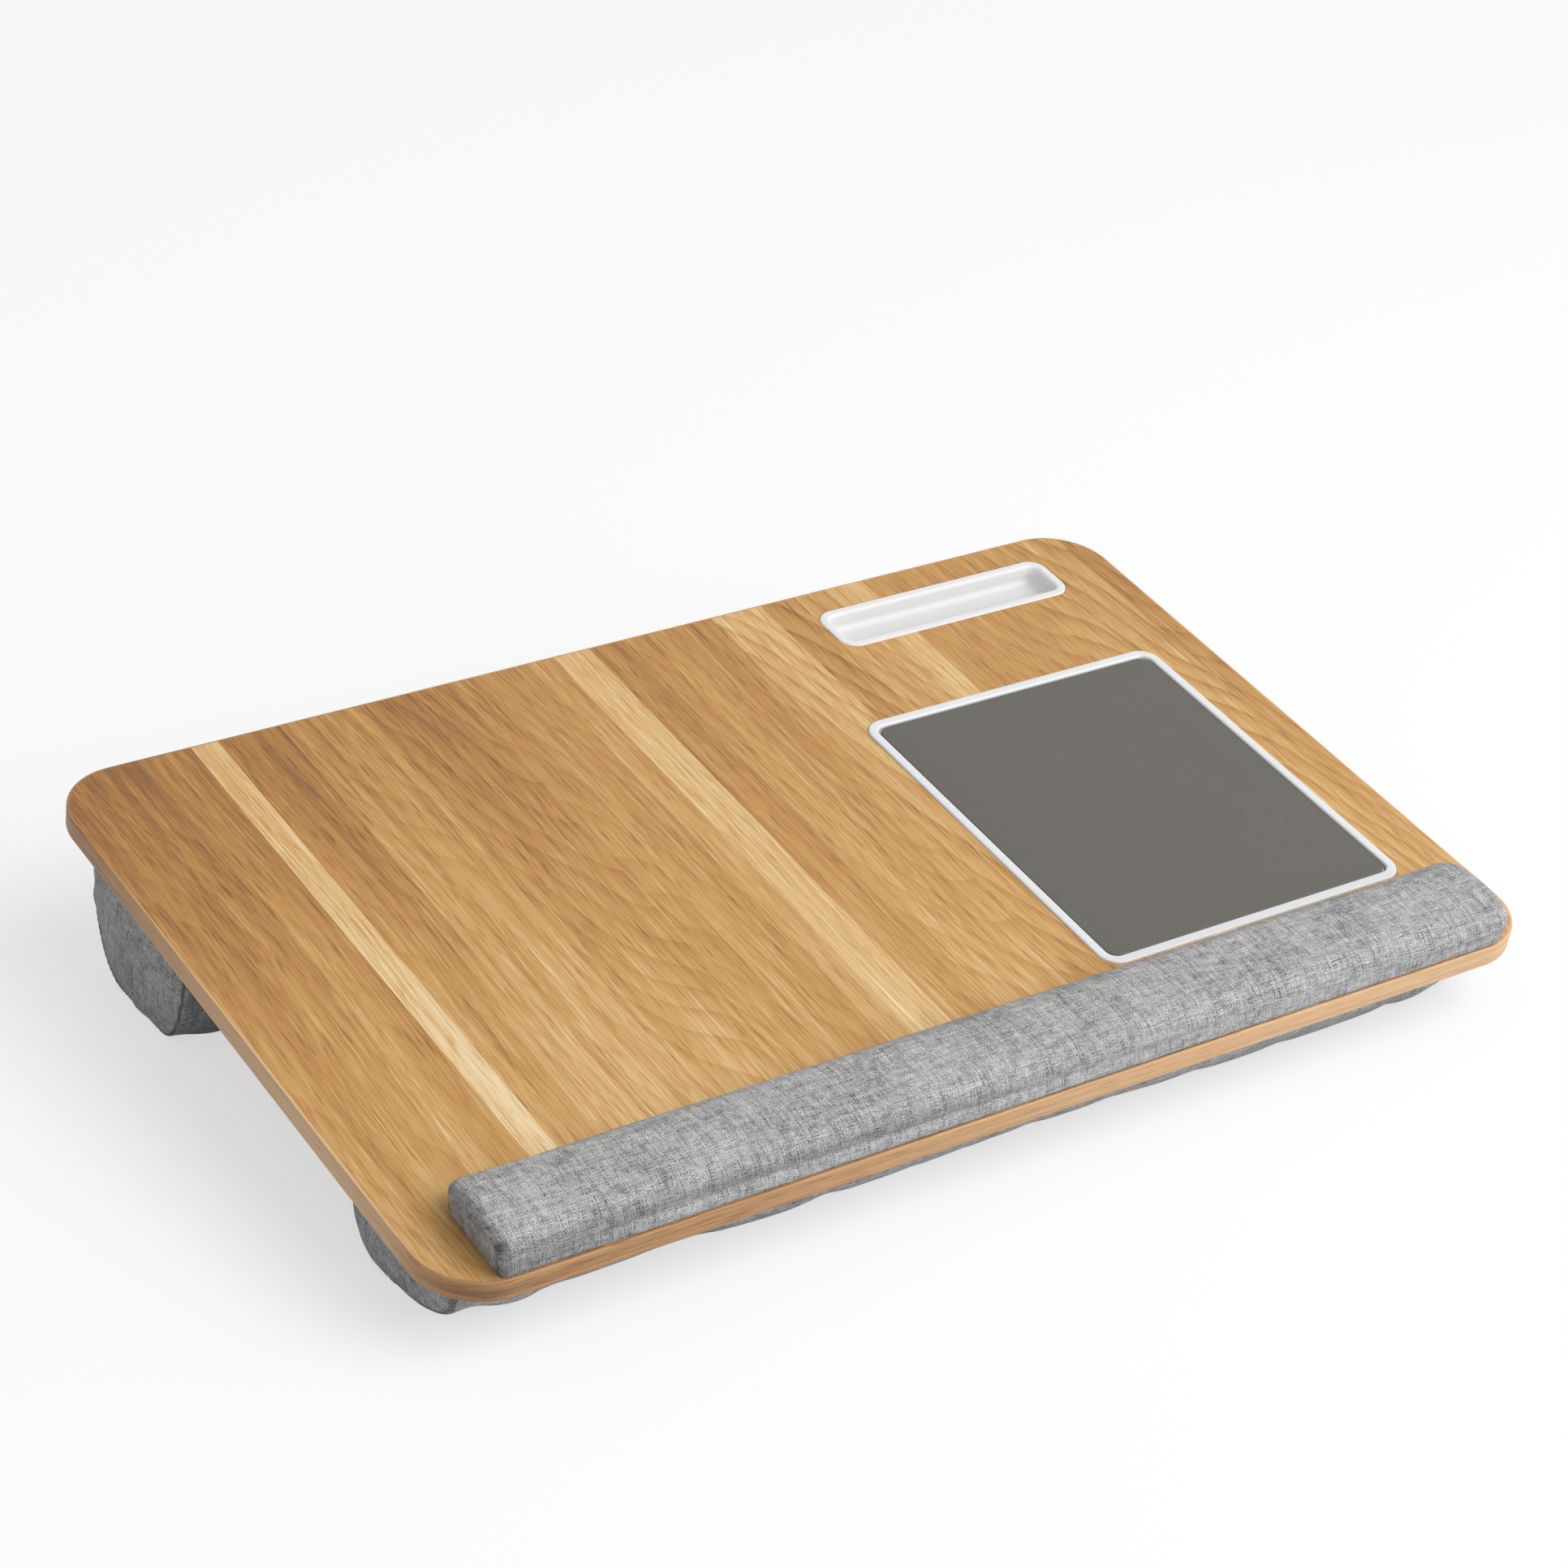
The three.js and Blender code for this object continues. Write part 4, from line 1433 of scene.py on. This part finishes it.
@dataclass
class Bolster(Cushion):
    """A sewn bolster under the board, drawn in at its ends, with domed end panels.

    The hollows say how far the front is set back along the length, where the filling is slack.
    """

    place: BolsterPlace = BolsterPlace.FRONT
    panel_dome: float = 3.2
    front: float = 16.0
    depth: float = 79.0
    front_roll: float = 18.0
    rear_roll: float = 27.0
    end_roll: float = 22.0
    end_lift: float = 3.5
    end_belly: float = 0.5
    seam_inset: float = 13.0
    belly: float = 6.0
    hollows: tuple[Point2, ...] = ((-1.0, 0.0), (1.0, 0.0))
    draw_from: float = 0.92
    shrunk: float = 0.8
    top: float = -10.3
    filling_top: float = -15.0
    pin_band: Point2 = (1.0, 2.0)
    seam_mm: float = 0.7
    bead_mm: float = 0.25
    bead_fade: float = 2.2
    pucker_mm: float = 0.35
    pucker_fade: float = 9.0
    pucker_reach: float = 30.0
    corner_pucker: float = 2.0
    corner_reach: float = 14.0

    STEP: ClassVar[float] = 4.4
    NEAR: ClassVar[tuple[float, ...]] = (0.0, 1.3, 3.0, 5.5, 9.0)
    TOP_STEPS: ClassVar[int] = 14
    SOLE_STEPS: ClassVar[int] = 9
    ROLL_LENGTH: ClassVar[float] = 14.0
    ROLL_EASE: ClassVar[float] = 0.3
    RIPPLE: ClassVar[Point3] = (0.02, 0.13, 0.13)
    SOFT_FROM: ClassVar[float] = 6.0
    SOFT_EDGE: ClassVar[float] = 0.4

    @property
    def reach(self) -> float:
        """Return how far the end seams lie from the middle."""
        return BOARD.width / 2 - self.seam_inset

    def outline(self, s: float) -> list[Point2]:
        """Return the outline at a station between -1 and 1, a little smaller than the filled cover.

        Args:
            s: station along the bolster.

        Returns:
            Closed outline of (y, z) points, from the rear edge of the top.
        """
        draw = smoothstep(abs(s), self.draw_from, 1.0)
        belly = lerp(self.belly, self.end_belly, draw) - self.shrunk
        front, rear = self.front + eased(self.hollows, s), self.front + self.depth

        def ground(y: float) -> float:
            """Return the height of the sole, lifted at the ends."""
            return BOARD.sole(y) + draw * self.end_lift

        def side(edge: float, out: int, roll: float) -> list[Point2]:
            """Return one side, from the board down to the sole.

            Args:
                edge: y of the side at the board.
                out: 1 for the rear, -1 for the front.
                roll: how far it rolls under.

            Returns:
                Points of (y, z).
            """
            waist = (self.filling_top + ground(edge)) / 2
            inner = edge - out * roll
            return [(edge, self.top)] + bezier((edge, self.filling_top), (edge + out * belly, waist),
                                               (edge - out * self.ROLL_EASE * roll, ground(edge)),
                                               (inner, ground(inner)))

        def steps(edge: float) -> int:
            """Return the number of steps down one side."""
            return round((self.filling_top - BOARD.sole(edge) + self.ROLL_LENGTH) / self.STEP)

        back = side(rear, 1, self.rear_roll)
        fore = side(front, -1, self.front_roll + draw * self.end_roll)[::-1]
        parts = ((back, steps(rear)), ([back[-1], fore[0]], self.SOLE_STEPS), (fore, steps(front)),
                 ([fore[-1], back[0]], self.TOP_STEPS))
        return [point for part, number in parts for point in spread(part, number)[:-1]]

    def stations(self) -> list[Station]:
        """Return the stations, closer together at the end seams."""
        return [(self.seam_inset + d, self.outline(d / self.reach - 1.0))
                for d in offsets(2 * self.reach, self.NEAR, self.STEP)]

    def nodes(self) -> list[str]:
        """Return the cover, its end panels and the filling."""
        return [f"{self.place.value}_bolster_{part}" for part in ("cover", "end_left", "end_right", "foam")]

    def pin(self, place: Vector) -> float:
        """Hold the cover where it is drawn over the panel under the board."""
        below, above = self.pin_band
        return smoothstep(place.z, self.filling_top - below, self.filling_top + above)

    def settle(self, place: Vector) -> Vector:
        """Keep the cover under the board and, with a soft edge, on the surface below.

        Args:
            place: vertex in the board's frame, in millimetres.

        Returns:
            The vertex, moved.
        """
        low = BOARD.sole(place.y)
        if place.z < low + self.SOFT_FROM:
            place.z = low + self.SOFT_EDGE * math.log1p(math.exp((place.z - low) / self.SOFT_EDGE))
        place.z = min(place.z, self.top)
        return place

    def detail(self, piece: bpy.types.Object, on_seam: set[int]) -> None:
        """Draw the end seams in and pucker the cover beside them.

        Args:
            piece: filled cover.
            on_seam: indices of the vertices on the end seams.
        """
        vertices = piece.data.vertices
        for vertex, normal in zip(vertices, [v.normal.copy() for v in vertices]):
            local = BOARD.local(vertex.co)
            gap = abs(abs(local.x - BOARD.width / 2) - self.reach)
            if local.z > self.filling_top:
                continue
            if vertex.index in on_seam:
                vertex.co -= normal * self.seam_mm * MM
            elif gap < self.pucker_reach:
                corner = math.dist((local.y, local.z), (self.front, BOARD.sole(self.front)))
                pucker = 1.0 + self.corner_pucker * bell(corner, 0.0, self.corner_reach)
                pucker *= self.pucker_mm * noise.noise(local * Vector(self.RIPPLE))
                raised = pucker * math.exp(-gap / self.pucker_fade)
                raised += self.bead_mm * math.exp(-gap / self.bead_fade)
                vertex.co += normal * raised * MM


@dataclass
class WristRest(Cushion):
    """The padded bar along the front edge, its cover drawn over the ends and under the base.

    Corners and rounds are radii, the first of two at the front. The pinch and the painted shade under the
    swell change
    along the board: the front is pinched above the base strip and painted darker under its swell.
    """

    firmness: float = 0.85
    x: float = 22.75
    y: float = -0.2
    length: float = 515.0
    depth: float = 48.3
    height: float = 17.7
    left_corners: Point2 = (3.5, 8.5)
    right_corners: Point2 = (8.0, 9.5)
    left_round: float = 2.6
    right_round: float = 3.2
    foot: float = 0.3
    foot_in: float = 0.6
    foot_lean: float = 1.6
    lean_band: Point2 = (1.5, 2.0)
    lean_reach: float = 12.0
    strip: float = 6.4
    strip_in: float = 0.5
    waist_rise: float = 0.8
    waist_below: float = 6.0
    waist_turn: float = 1.0
    shoulder: Point2 = (-4.6, -2.1)
    swell: tuple[Point2, Point2] = ((0.9, 2.8), (0.2, -5.2))
    crown: tuple[Point2, Point2] = ((-9.0, -0.4), (-15.0, 0.0))
    crease: float = 2.0
    least_crease: float = 0.3
    rear_crease: float = 0.5
    pinch: tuple[Point2, ...] = ((25.0, 0.0), (110.0, 1.0), (220.0, 1.0), (420.0, 0.0))
    pin_band: Point2 = (0.9, 2.0)
    pleat_mm: float = 0.6
    pleat_at: float = 3.6
    pleat_width: float = 1.6
    pleat_lean: float = 0.1
    pleat_reach: Point2 = (2.0, 6.0)
    pleat_above: Point2 = (-1.0, 4.0)
    # Painted shade on the cover, which darkens the weave: the pleat, the left end's face turned from the
    # light, the front under its swell and at its lower left, and the turn onto the end.
    pleat_shade: float = 0.9
    end_shade: float = 0.30
    end_reach: Point2 = (0.6, 3.4)
    front_reach: Point2 = (4.0, 9.0)
    under_shade: tuple[Point2, ...] = ((140.0, 0.60), (330.0, 0.18), (335.0, 0.18), (430.0, 0.06))
    under_band: Point2 = (5.2, 3.0)
    crumple_shade: float = 0.48
    crumple_reach: Point2 = (50.0, 105.0)
    crumple_below: Point2 = (9.0, 14.0)
    turn_shade: float = 0.6
    turn_band: Point2 = (2.6, 1.2)
    turn_top: float = 13.7
    turn_mean: float = 0.55

    TURN_NOISE: ClassVar[Point3] = (0.21, 0.1, 5.0)
    STEP: ClassVar[float] = 3.6
    NEAR: ClassVar[tuple[float, ...]] = (0.0, 0.35, 1.0, 2.0, 3.4, 5.2, 8.0, 11.0)
    SIDE_STEPS: ClassVar[int] = 19
    BASE_STEPS: ClassVar[int] = 12

    def side(self, half: float, top: float, crease: float) -> list[Point2]:
        """Return one side of a station, from the foot to the middle of the top.

        Args:
            half: half of the depth at this station.
            top: height at this station.
            crease: how far the cover is pinched above the base strip.

        Returns:
            Points of (distance from the middle, z).
        """
        waist = min(self.strip + self.waist_rise, top - self.waist_below)
        wall = half - self.strip_in

        def from_top(step: Point2) -> Point2:
            """Return a point at a step from the upper corner of the station."""
            return half + step[0], top + step[1]

        foot = spread([(half - self.foot_in, self.foot), (wall, waist - self.waist_turn)], 2)
        shoulder, (out, up) = from_top(self.shoulder), self.swell[0]
        swell = bezier((wall - crease, waist), (half + out, waist + up), from_top(self.swell[1]), shoulder)
        crown = bezier(shoulder, *map(from_top, self.crown), (0.0, top))
        return foot + spread(swell + crown[1:], self.SIDE_STEPS)

    def lean(self, x: float, z: float) -> float:
        """Return the x of a point of an end, drawn in at the base strip.

        Args:
            x: place along the board.
            z: height over the board.

        Returns:
            The x it gets.
        """
        below, above = self.lean_band
        low = self.foot_lean * fade(z, self.strip - below, self.strip + above)
        near = fade(min(x - self.x, self.x + self.length - x), 0.0, self.lean_reach)
        return x + low * near * (1.0 if x < self.x + self.length / 2 else -1.0)

    def outline(self, x: float, insets: Point2, drop: float) -> list[Point2]:
        """Return the outline of a station drawn in at the sides and down at the top.

        Args:
            x: place along the board.
            insets: how far the front and the rear are drawn in.
            drop: how far the top is drawn down.

        Returns:
            Closed outline of (y, z) points, from the rear edge of the foot.
        """
        front_half, rear_half = (self.depth / 2 - inset for inset in insets)
        top, middle = self.height - drop, self.y + self.depth / 2
        creased = self.least_crease + self.crease * eased(self.pinch, x)
        rear = [(middle + a, b) for a, b in self.side(rear_half, top, self.rear_crease)]
        fore = [(middle - a, b) for a, b in reversed(self.side(front_half, top, creased))]
        base = spread([fore[-1], rear[0]], self.BASE_STEPS)
        return rear[:-1] + fore[:-1] + base[:-1]

    def stations(self) -> list[Station]:
        """Return the stations, with rounded edges at the ends.

        Returns:
            The x and the closed outline of each station.
        """
        out = []
        for d in offsets(self.length, self.NEAR, self.STEP):
            left = d < self.length / 2
            away = d if left else self.length - d
            corners = self.left_corners if left else self.right_corners
            insets = tuple(self.rounded(away, corner) for corner in corners)
            drop = self.rounded(away, self.left_round if left else self.right_round)
            out.append((self.x + d, self.outline(self.x + d, insets, drop)))
        return out

    @staticmethod
    def rounded(away: float, radius: float) -> float:
        """Return how far an edge of a radius is drawn in at a distance from the end."""
        share = max(1.0 - away / radius, 0.0)
        return radius * (1.0 - math.sqrt(max(1.0 - share * share, 0.0)))

    def nodes(self) -> list[str]:
        """Return the cover and the foam."""
        return ["wrist_rest_cover", "wrist_rest_foam"]

    def pin(self, place: Vector) -> float:
        """Hold the cover round the base strip."""
        return fade(place.z - self.strip, *self.pin_band)

    def settle(self, place: Vector) -> Vector:
        """Keep the cover on the board."""
        place.z = max(place.z, self.foot)
        return place

    def pleat(self, place: Vector) -> float:
        """Return how deep a place lies in the pleat at the left end's front corner."""
        across = place.y - self.y - self.pleat_lean * place.z
        return fade(place.x - self.x, *self.pleat_reach) * bell(across, self.pleat_at, self.pleat_width)

    def detail(self, piece: bpy.types.Object, on_seam: set[int]) -> None:
        """Press the pleat into the left end, above the base strip.

        Args:
            piece: filled cover.
            on_seam: indices of the vertices on the end seams; not used.
        """
        for vertex in piece.data.vertices:
            local = BOARD.local(vertex.co)
            above = smoothstep(local.z - self.strip, *self.pleat_above)
            vertex.co -= vertex.normal * self.pleat(local) * above * self.pleat_mm * MM

    def painted_shade(self, place: Vector, on_seam: bool) -> float:
        """Return how much painted shade a vertex gets: in the pleat, on the left end's face and its turn, and
        on the front under its swell.

        Args:
            place: vertex in the board's frame, in millimetres.
            on_seam: whether it lies on an end seam; not used.

        Returns:
            The painted shade, from 0 to 1.
        """
        # Painted shade: the left end's face turned from the light, the pleat, the turn onto the end, and the
        # front under its swell and at its lower left.
        along = place.x - self.x
        end = fade(along, *self.end_reach)
        front = fade(place.y - self.y, *self.front_reach) * (1.0 - end)
        under = eased(self.under_shade, place.x) * bell(place.z - self.strip, *self.under_band)
        crumpled = fade(place.x, *self.crumple_reach) * fade(place.z, *self.crumple_below)
        front *= max(under, self.crumple_shade * crumpled)
        turn = bell(along, *self.turn_band) * smoothstep(place.z, self.strip, self.turn_top)
        across, up, cut = self.TURN_NOISE
        turn *= self.turn_mean + noise.noise(Vector((place.y * across, place.z * up, cut)))
        shade = self.end_shade * end + self.pleat_shade * self.pleat(place) + front
        return min(shade + max(self.turn_shade * turn, 0.0), 1.0)


@dataclass(frozen=True)
class SeamStitches:
    """Stitches along a seam, laid out by a node tree."""

    spacing_mm: float = 3.2
    length_mm: float = 2.3
    thread_mm: float = 0.32
    jitter: float = 0.12
    seed: int = 7

    def tree(self, material: bpy.types.Material) -> bpy.types.GeometryNodeTree:
        """Build the node tree that turns a path into stitches.

        Args:
            material: finish of the thread.

        Returns:
            The tree, with its sizes as named inputs.
        """
        group = bpy.data.node_groups.new("seam_stitches", "GeometryNodeTree")
        for name, way, kind in (("Geometry", "INPUT", "Geometry"), ("Spacing", "INPUT", "Float"),
                                ("Length", "INPUT", "Float"), ("Thread", "INPUT", "Float"),
                                ("Seed", "INPUT", "Int"), ("Geometry", "OUTPUT", "Geometry")):
            group.interface.new_socket(name, in_out=way, socket_type=f"NodeSocket{kind}")
        tree = Tree(group)
        given = tree.node("NodeGroupInput")
        curve = tree.node("GeometryNodeMeshToCurve", {"Mesh": given["Geometry"]})["Curve"]
        points = tree.node("GeometryNodeCurveToPoints", {"Curve": curve, "Length": given["Spacing"]},
                           mode="LENGTH")
        grain = tree.node("GeometryNodeMeshUVSphere", {"Segments": 8, "Rings": 6, "Radius": 0.5})["Mesh"]
        size = tree.node("ShaderNodeCombineXYZ", (given["Thread"], given["Thread"], given["Length"]))[0]
        stitch = tree.node("GeometryNodeTransform", {"Geometry": grain, "Scale": size})["Geometry"]
        along = tree.node("FunctionNodeAlignRotationToVector", {"Vector": points["Tangent"]}, axis="Z")
        uneven = tree.node("FunctionNodeRandomValue", {0: (-self.jitter,) * 3, 1: (self.jitter,) * 3,
                                                       "Seed": given["Seed"]}, data_type="FLOAT_VECTOR")
        laid = tree.node("GeometryNodeInstanceOnPoints", {"Points": points["Points"], "Instance": stitch,
                                                          "Rotation": along["Rotation"]})
        turned = tree.node("GeometryNodeRotateInstances", {"Instances": laid["Instances"],
                                                           "Rotation": uneven["Value"]})
        real = tree.node("GeometryNodeRealizeInstances", {"Geometry": turned["Instances"]})
        soft = tree.node("GeometryNodeSetShadeSmooth", {"Geometry": real["Geometry"]})
        coat = tree.node("GeometryNodeSetMaterial", {"Geometry": soft["Geometry"], "Material": material})
        tree.node("NodeGroupOutput", {"Geometry": coat["Geometry"]})
        return group

    def build(self, name: str, path: Sequence[Vector], tree: bpy.types.GeometryNodeTree,
              palette: Palette) -> None:
        """Lay stitches along a path and keep them as a mesh.

        Args:
            name: name of the object.
            path: points along the seam.
            tree: node tree of the stitches.
            palette: finishes of the tray.
        """
        mesh = bpy.data.meshes.new(name)
        mesh.from_pydata(path, [(i, i + 1) for i in range(len(path) - 1)], [])
        piece = link(name, mesh)
        modifier = piece.modifiers.new("stitches", "NODES")
        modifier.node_group = tree
        values = {"Spacing": self.spacing_mm * MM, "Length": self.length_mm * MM,
                  "Thread": self.thread_mm * MM, "Seed": self.seed}
        for item in tree.interface.items_tree:
            if item.item_type == "SOCKET" and item.in_out == "INPUT" and item.name in values:
                modifier[item.identifier] = values[item.name]
        evaluated_mesh(piece, modifier)
        hand_over(piece, palette.thread, "grey_weave")


# CAD nodes that stay, studio and camera


def dress_cad(palette: Palette) -> None:
    """Give every CAD node that stays in view or inside the finish of its slot.

    Args:
        palette: finishes of the tray.
    """
    for row in frame["record"]["subparts"]:
        piece = frame["nodes"][row["node"]]
        material = palette.for_slot(row["material_slot"])
        for slot in piece.material_slots:
            slot.material = material
        LOG.info("%s: %s", piece.name, material.name)


@dataclass(frozen=True)
class Studio:
    """Pale floor, even daylight from all round, a high lamp and a near soft box at the front right."""

    floor_size: float = 24.0
    floor_colour: Colour = (0.93, 0.93, 0.93)
    floor_bounce: Colour = (0.78, 0.78, 0.81)
    floor_glow: float = 0.62
    sky: float = 0.42
    sky_colour: Colour = (1.0, 1.0, 1.0)
    lamp: float = 1.5
    lamp_angle_deg: float = 60.0
    lamp_from: Point3 = (0.55, -0.72, 1.0)
    box: float = 23.0
    box_size: float = 1.9
    box_at: Point3 = (1.15, -1.25, 1.35)

    def build(self) -> None:
        """Build the floor, the world and the lamps."""
        half = self.floor_size / 2
        shape = Shape()
        shape.add_ring([Vector((x * half, y * half, 0.0)) for x, y in ((-1, -1), (1, -1), (1, 1), (-1, 1))])
        shape.cap(0, 4)
        floor = shape.piece("studio_floor")
        floor.data.materials.append(self.paper())
        scene = bpy.context.scene
        scene.world = self.surround()
        lamp = self.light("studio_lamp", "SUN", self.lamp, self.lamp_from)
        lamp.data.angle = math.radians(self.lamp_angle_deg)
        box = self.light("studio_box", "AREA", self.box, self.box_at)
        box.data.size = self.box_size
        box.location = self.box_at
        scene.view_settings.view_transform = "Standard"

    @staticmethod
    def light(name: str, kind: str, energy: float, source: Point3) -> bpy.types.Object:
        """Return a lamp that shines from a side towards the tray.

        Args:
            name: name of the lamp.
            kind: Blender's type of lamp.
            energy: its strength.
            source: direction that it shines from.

        Returns:
            The lamp at the origin, turned towards the tray.
        """
        data = bpy.data.lights.new(name, kind)
        data.energy = energy
        lamp = link(name, data)
        lamp.rotation_euler = Vector(source).to_track_quat("Z", "Y").to_euler()
        return lamp

    @staticmethod
    def seen(tree: Tree) -> Socket:
        """Return 1 where a ray comes from the camera or from a glossy or clear surface.

        Args:
            tree: tree that asks.

        Returns:
            A socket with 1 or 0.
        """
        path = tree.node("ShaderNodeLightPath")
        seen = path["Is Camera Ray"]
        for name in ("Is Glossy Ray", "Is Transmission Ray"):
            seen = tree.node("ShaderNodeMath", (seen, path[name]), operation="MAXIMUM")[0]
        return seen

    def paper(self) -> bpy.types.Material:
        """Return the floor's material: near white to the eye, with the tray's shadow on it.

        Returns:
            The material.
        """
        material = bpy.data.materials.new("studio_paper")
        material.use_nodes = True
        tree = Tree(material.node_tree)
        bounce, painted_light_factor = (tree.node("ShaderNodeBsdfDiffuse", {"Color": (*colour, 1.0)})[0]
                        for colour in (self.floor_bounce, self.floor_colour))
        glow = tree.node("ShaderNodeEmission")[0]
        lit = tree.node("ShaderNodeMixShader", (self.floor_glow, painted_light_factor, glow))[0]
        shown = tree.node("ShaderNodeMixShader", (self.seen(tree), bounce, lit))[0]
        tree.node("ShaderNodeOutputMaterial", {"Surface": shown})
        return material

    def surround(self) -> bpy.types.World:
        """Return the world: daylight for the tray, white to the eye.

        Returns:
            The world.
        """
        world = bpy.data.worlds.new("studio_world")
        world.use_nodes = True
        tree = Tree(world.node_tree)
        shares = {"Value": self.seen(tree), "To Min": self.sky, "To Max": 1.0}
        level = tree.node("ShaderNodeMapRange", shares)[0]
        sky = tree.node("ShaderNodeBackground", {"Color": (*self.sky_colour, 1.0), "Strength": level})[0]
        tree.node("ShaderNodeOutputWorld", {"Surface": sky})
        return world


@dataclass(frozen=True)
class PhotoCamera:
    """The camera of the photograph, found from the board's outline, in the board's frame."""

    eye: Point3 = (-609.112, -910.596, 1031.143)
    forward: Point3 = (0.5095823, 0.6375024, -0.5778552)
    down: Point3 = (-0.2295927, -0.5464974, -0.8053743)
    lens: float = 91.648
    sensor: float = 36.0
    clip: Point2 = (0.01, 100.0)

    def build(self) -> None:
        """Build the camera and make it the scene's own."""
        data = bpy.data.cameras.new("photo_camera")
        data.lens, data.sensor_width, data.sensor_fit = self.lens, self.sensor, "AUTO"
        data.clip_start, data.clip_end = self.clip
        back = -BOARD.turn(self.forward).normalized()
        right = (-BOARD.turn(self.down)).cross(back).normalized()
        turned = Matrix((right, back.cross(right), back)).transposed().to_4x4()
        turned.translation = BOARD.world(*self.eye)
        camera = link("photo_camera", data)
        camera.matrix_world = turned
        bpy.context.scene.camera = camera


def main() -> None:
    """Build the tray piece by piece."""
    logging.basicConfig(level=logging.INFO, format="%(message)s")
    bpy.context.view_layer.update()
    palette = Palette()
    pad, trough = MousePad(), PhoneTrough()
    Board().build(palette, pad, trough)
    pad.build(palette)
    trough.build(palette)
    WristRest("wrist_rest", ClothFill(most_mm=1.1, fullness=0.0, gather=0.0)).build(palette)
    bolsters = (
        Bolster("front_bolster", ClothFill(most_mm=3.6), place=BolsterPlace.FRONT, front=14.6, depth=80.4,
                front_roll=14.0, rear_roll=32.0, end_roll=29.0, end_lift=1.0, draw_from=0.84, shrunk=-2.4,
                hollows=((-0.92, -0.8), (-0.82, 3.4), (-0.64, 3.3), (-0.38, -0.4), (0.2, 0.2), (0.4, -1.6),
                         (0.8, 0.0))),
        Bolster("rear_bolster", ClothFill(most_mm=3.6), place=BolsterPlace.REAR, front=242.5, depth=85.5,
                front_roll=5.0, rear_roll=36.0, end_roll=9.0, end_lift=0.0, end_belly=6.5, belly=7.5,
                shrunk=1.0))
    stitches = SeamStitches()
    tree = stitches.tree(palette.thread)
    for bolster in bolsters:
        for side, path in zip(("left", "right"), bolster.build(palette)):
            stitches.build(f"{bolster.name}_stitches_{side}", path, tree, palette)
    dress_cad(palette)
    Studio().build()
    PhotoCamera().build()


if __name__ == "__main__":
    main()
